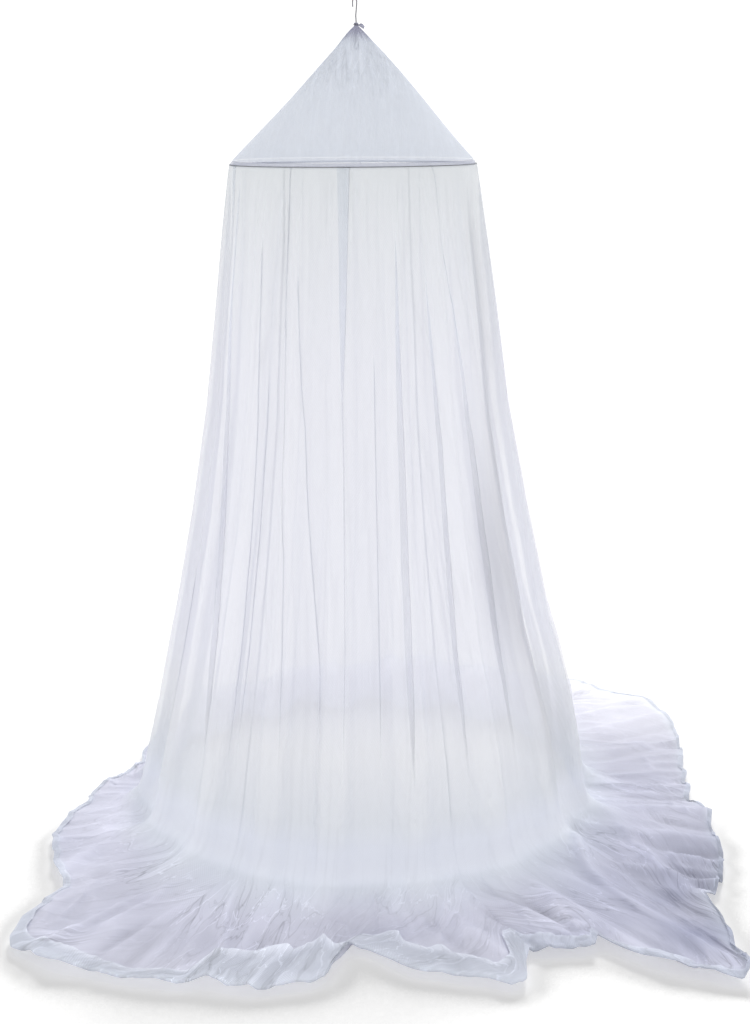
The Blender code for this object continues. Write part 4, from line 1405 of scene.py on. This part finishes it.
def makeBand(material):
    # net folded under the hoop and up both sides of it
    wall, rise = bandLook["wall"], bandLook["rise"]
    a = fullTurn(bandLook["columns"])
    outline = [(wall + 0.0001, rise), (wall + 0.0003, rise * 0.5), (wall + 0.0002, 0.0)]
    outline += [(wall * math.cos(math.radians(t)), -wall * math.sin(math.radians(t)))
                for t in range(15, 180, 15)]
    outline += [(-wall, 0.0), (-wall + 0.0003, rise * 0.45), (-wall + 0.0008, rise * 0.8),
                (0.0012, rise * 0.98)]
    out, up = (column(outline, i)[:, None] for i in range(2))
    gathers = ringNoise(a, 40, 0.5, 51)
    share = np.clip(up / rise, 0, 1)
    pucker = bandLook["pucker"] * (np.cos(bandLook["puckers"] * a) + 1.4 * gathers)
    r = canopySizes["hoopRadius"] + out + pucker * share - bandLook["lean"] * share ** 2
    x, y, z = placeAll(r * np.sin(a), -r * np.cos(a), canopySizes["hoopHeight"] + up + 0 * r)
    front = smooth(np.cos(a), -0.4, 0.4)
    low = smooth(-up / wall, 0.0, 0.45) + 0 * a
    gather = bandLook["gather"] * (0.4 + 0.6 * front) * (1 + 0.3 * np.clip(gathers, 0, 1)) + 0 * r
    # the underside along the lower edge is painted darker as shade, most at the front, the net is darker
    # where it bunches in gathers, and its top edge is a thin seam
    dark = bandLook["gatherDark"] * np.clip(gathers, 0, 1)
    undersideShade = low * bandLook["undersideShade"] * (0.25 + 0.75 * front)
    seam = bandLook["topLineDark"] * (up > rise * 0.95)
    tint = np.array(bandLook["colour"]) * (1 - dark - undersideShade - seam)[..., None]
    points = np.stack([x, y, z], axis=2)
    band = sheetFrom("hoopBand", points, material, gather * (1 + low), 0.3 + 0 * r, tint)
    weld(band, 2e-6)
    standFor(band, "hoop_sleeve")


# the short end of cloth above the tie: how far out, height over the cone's tip, half width
tailRows = [
    (0.0036, 0.0075, 0.0038), (0.0056, 0.0077, 0.0050), (0.0082, 0.0077, 0.0060), (0.0108, 0.0074, 0.0068),
    (0.0134, 0.0066, 0.0074), (0.0160, 0.0050, 0.0078), (0.0188, 0.0028, 0.0070),
]
tailLook = {"rows": 49, "columns": 41, "gather": 7.0, "ripple": 0.0010, "curl": 0.65}


def makeTail(material):
    s = np.linspace(-1, 1, tailLook["columns"])[None, :]
    at = np.linspace(0, len(tailRows) - 1, tailLook["rows"])
    out, drop, half = (easedRows(column(tailRows, i), at)[:, None] for i in range(3))
    curl = smooth(at, 0.0, 4.0)[:, None]
    ripple = np.cos(2 * np.pi * s)
    x = canopySizes["apexX"] + out + tailLook["ripple"] * ripple + 0.0005 * np.sin(5 * np.pi * s)
    z = canopySizes["apexHeight"] + drop + half * tailLook["curl"] * curl * np.sin(2.2 * s + 0.3)
    z = z + 0.0006 * np.sin(2 * np.pi * s + 6 * out / 0.02)
    points = np.stack([x, half * s * (1 - 0.45 * curl), z - canopySizes["hangHeight"] + 0 * x], axis=2)
    gather = tailLook["gather"] + 2.0 * ripple + 0 * x
    # painted light and shade: lighter on the ripples' crests, darker towards one side
    tint = np.array(capLook["neckShadedColour"]) * (0.85 + 0.25 * ripple - 0.15 * s + 0 * x)[..., None]
    tail = sheetFrom("neckTail", points, material, gather, 0.5 + 0 * x, tint)
    standFor(tail, "neck_tail")


# round stock from a line of points
def roundStock(name, points, radius, roundness, material):
    clearSelection()
    bpy.ops.curve.primitive_nurbs_path_add()
    path = bpy.context.object
    path.name = name
    data = path.data
    data.splines.clear()
    spline = data.splines.new("POLY")
    spline.points.add(len(points) - 1)
    for point, place in zip(spline.points, points):
        point.co = (*place, 1)
    data.bevel_depth = radius
    data.bevel_resolution = roundness
    data.use_fill_caps = True
    bpy.ops.object.convert(target="MESH")
    made = bpy.context.object
    made.data.materials.clear()
    made.data.materials.append(material)
    return made


tieLook = {
    "turns": 4,
    "turnSteps": 28,
    "threadRadius": 0.00055,
    "neckGap": 0.0014,
    "pitch": 0.0009,
    "rise": 0.0092,
}


def makeTie(material):
    # thread wound round the neck, not quite evenly
    ring = canopySizes["apexHeight"] + tieLook["rise"] - canopySizes["hangHeight"]
    radius = capLook["neckRadius"] + tieLook["neckGap"]
    turns = tieLook["turns"]
    points = []
    for i in range(turns * tieLook["turnSteps"] + 1):
        t = i / tieLook["turnSteps"]
        a = 2 * math.pi * t
        r = radius + 0.00025 * math.sin(2.6 * t)
        points.append((canopySizes["apexX"] + r * math.sin(a), -r * math.cos(a),
                       ring + tieLook["pitch"] * (t - turns / 2) + 0.0002 * math.sin(1.7 * t + 1)))
    tie = roundStock("neckTie", points, tieLook["threadRadius"], 3, material)
    bpy.ops.object.shade_smooth()
    standFor(tie, "tie")


hookLook = {
    "wireRadius": 0.0016,
    "bendRadius": 0.0049,
    "eyeRadius": 0.0056,
    "eyeDrop": 0.040,
    "endRounding": 0.0005,
}


def makeHook(material):
    # an eye under the neck, a shank that wavers a little, and a bend that opens downwards
    apex = canopySizes["apexHeight"] - canopySizes["hangHeight"]
    apexX = canopySizes["apexX"]
    wire, bend, eye = hookLook["wireRadius"], hookLook["bendRadius"], hookLook["eyeRadius"]
    top, eyeZ = wire - bend, apex - hookLook["eyeDrop"]
    path = [(apexX + eye * math.sin(math.radians(t)), eyeZ + eye * math.cos(math.radians(t)))
            for t in range(-320, -39, 10)]
    path += [(apexX - 0.0006, eyeZ + eye + 0.0045), (apexX, eyeZ + eye + 0.012), (apexX, apex + 0.014),
             (apexX - 0.0009, apex + 0.030), (apexX + 0.0002, apex + 0.042), (bend, top - 0.006)]
    path += [(bend * math.cos(math.radians(t)), top + bend * math.sin(math.radians(t)))
             for t in range(0, 181, 10)]
    path += [(-bend - 0.0001, top - 0.006), (-bend + 0.0004, top - 0.013)]
    hook = roundStock("hangHook", [(x, 0.0, z) for x, z in path], wire, 5, material)
    pickOnly(hook)
    rounding = hook.modifiers.new("endRounding", "BEVEL")
    rounding.width = hookLook["endRounding"]
    rounding.segments = 3
    rounding.limit_method = "ANGLE"
    rounding.angle_limit = math.radians(60)
    bpy.ops.object.modifier_apply(modifier="endRounding")
    bpy.ops.object.shade_smooth_by_angle(angle=math.radians(40))
    standFor(hook, "hook")


def finishHoop(material):
    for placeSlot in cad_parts["hoop"].material_slots:
        placeSlot.material = material


setCamera()
floor = setStudio()
say("studio ready")
makeSkirt(floor, netCloth("sheerNet"))
capMaterial = netCloth("capNet", longCreases=(60.0, 7.0, 1.0), shortCreases=(130.0, 22.0, 1.0))
makeCap(capMaterial)
makeBand(netCloth("bandNet", longCreases=(90.0, 60.0, 1.0), shortCreases=(200.0, 90.0, 1.0)))
makeTail(capMaterial)
say("cap, band and neck made")
makeTie(plainFinish("tieThread"))
makeHook(plainFinish("drawnSteelWire"))
finishHoop(plainFinish("coatedHoopRod"))
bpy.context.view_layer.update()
say("done")
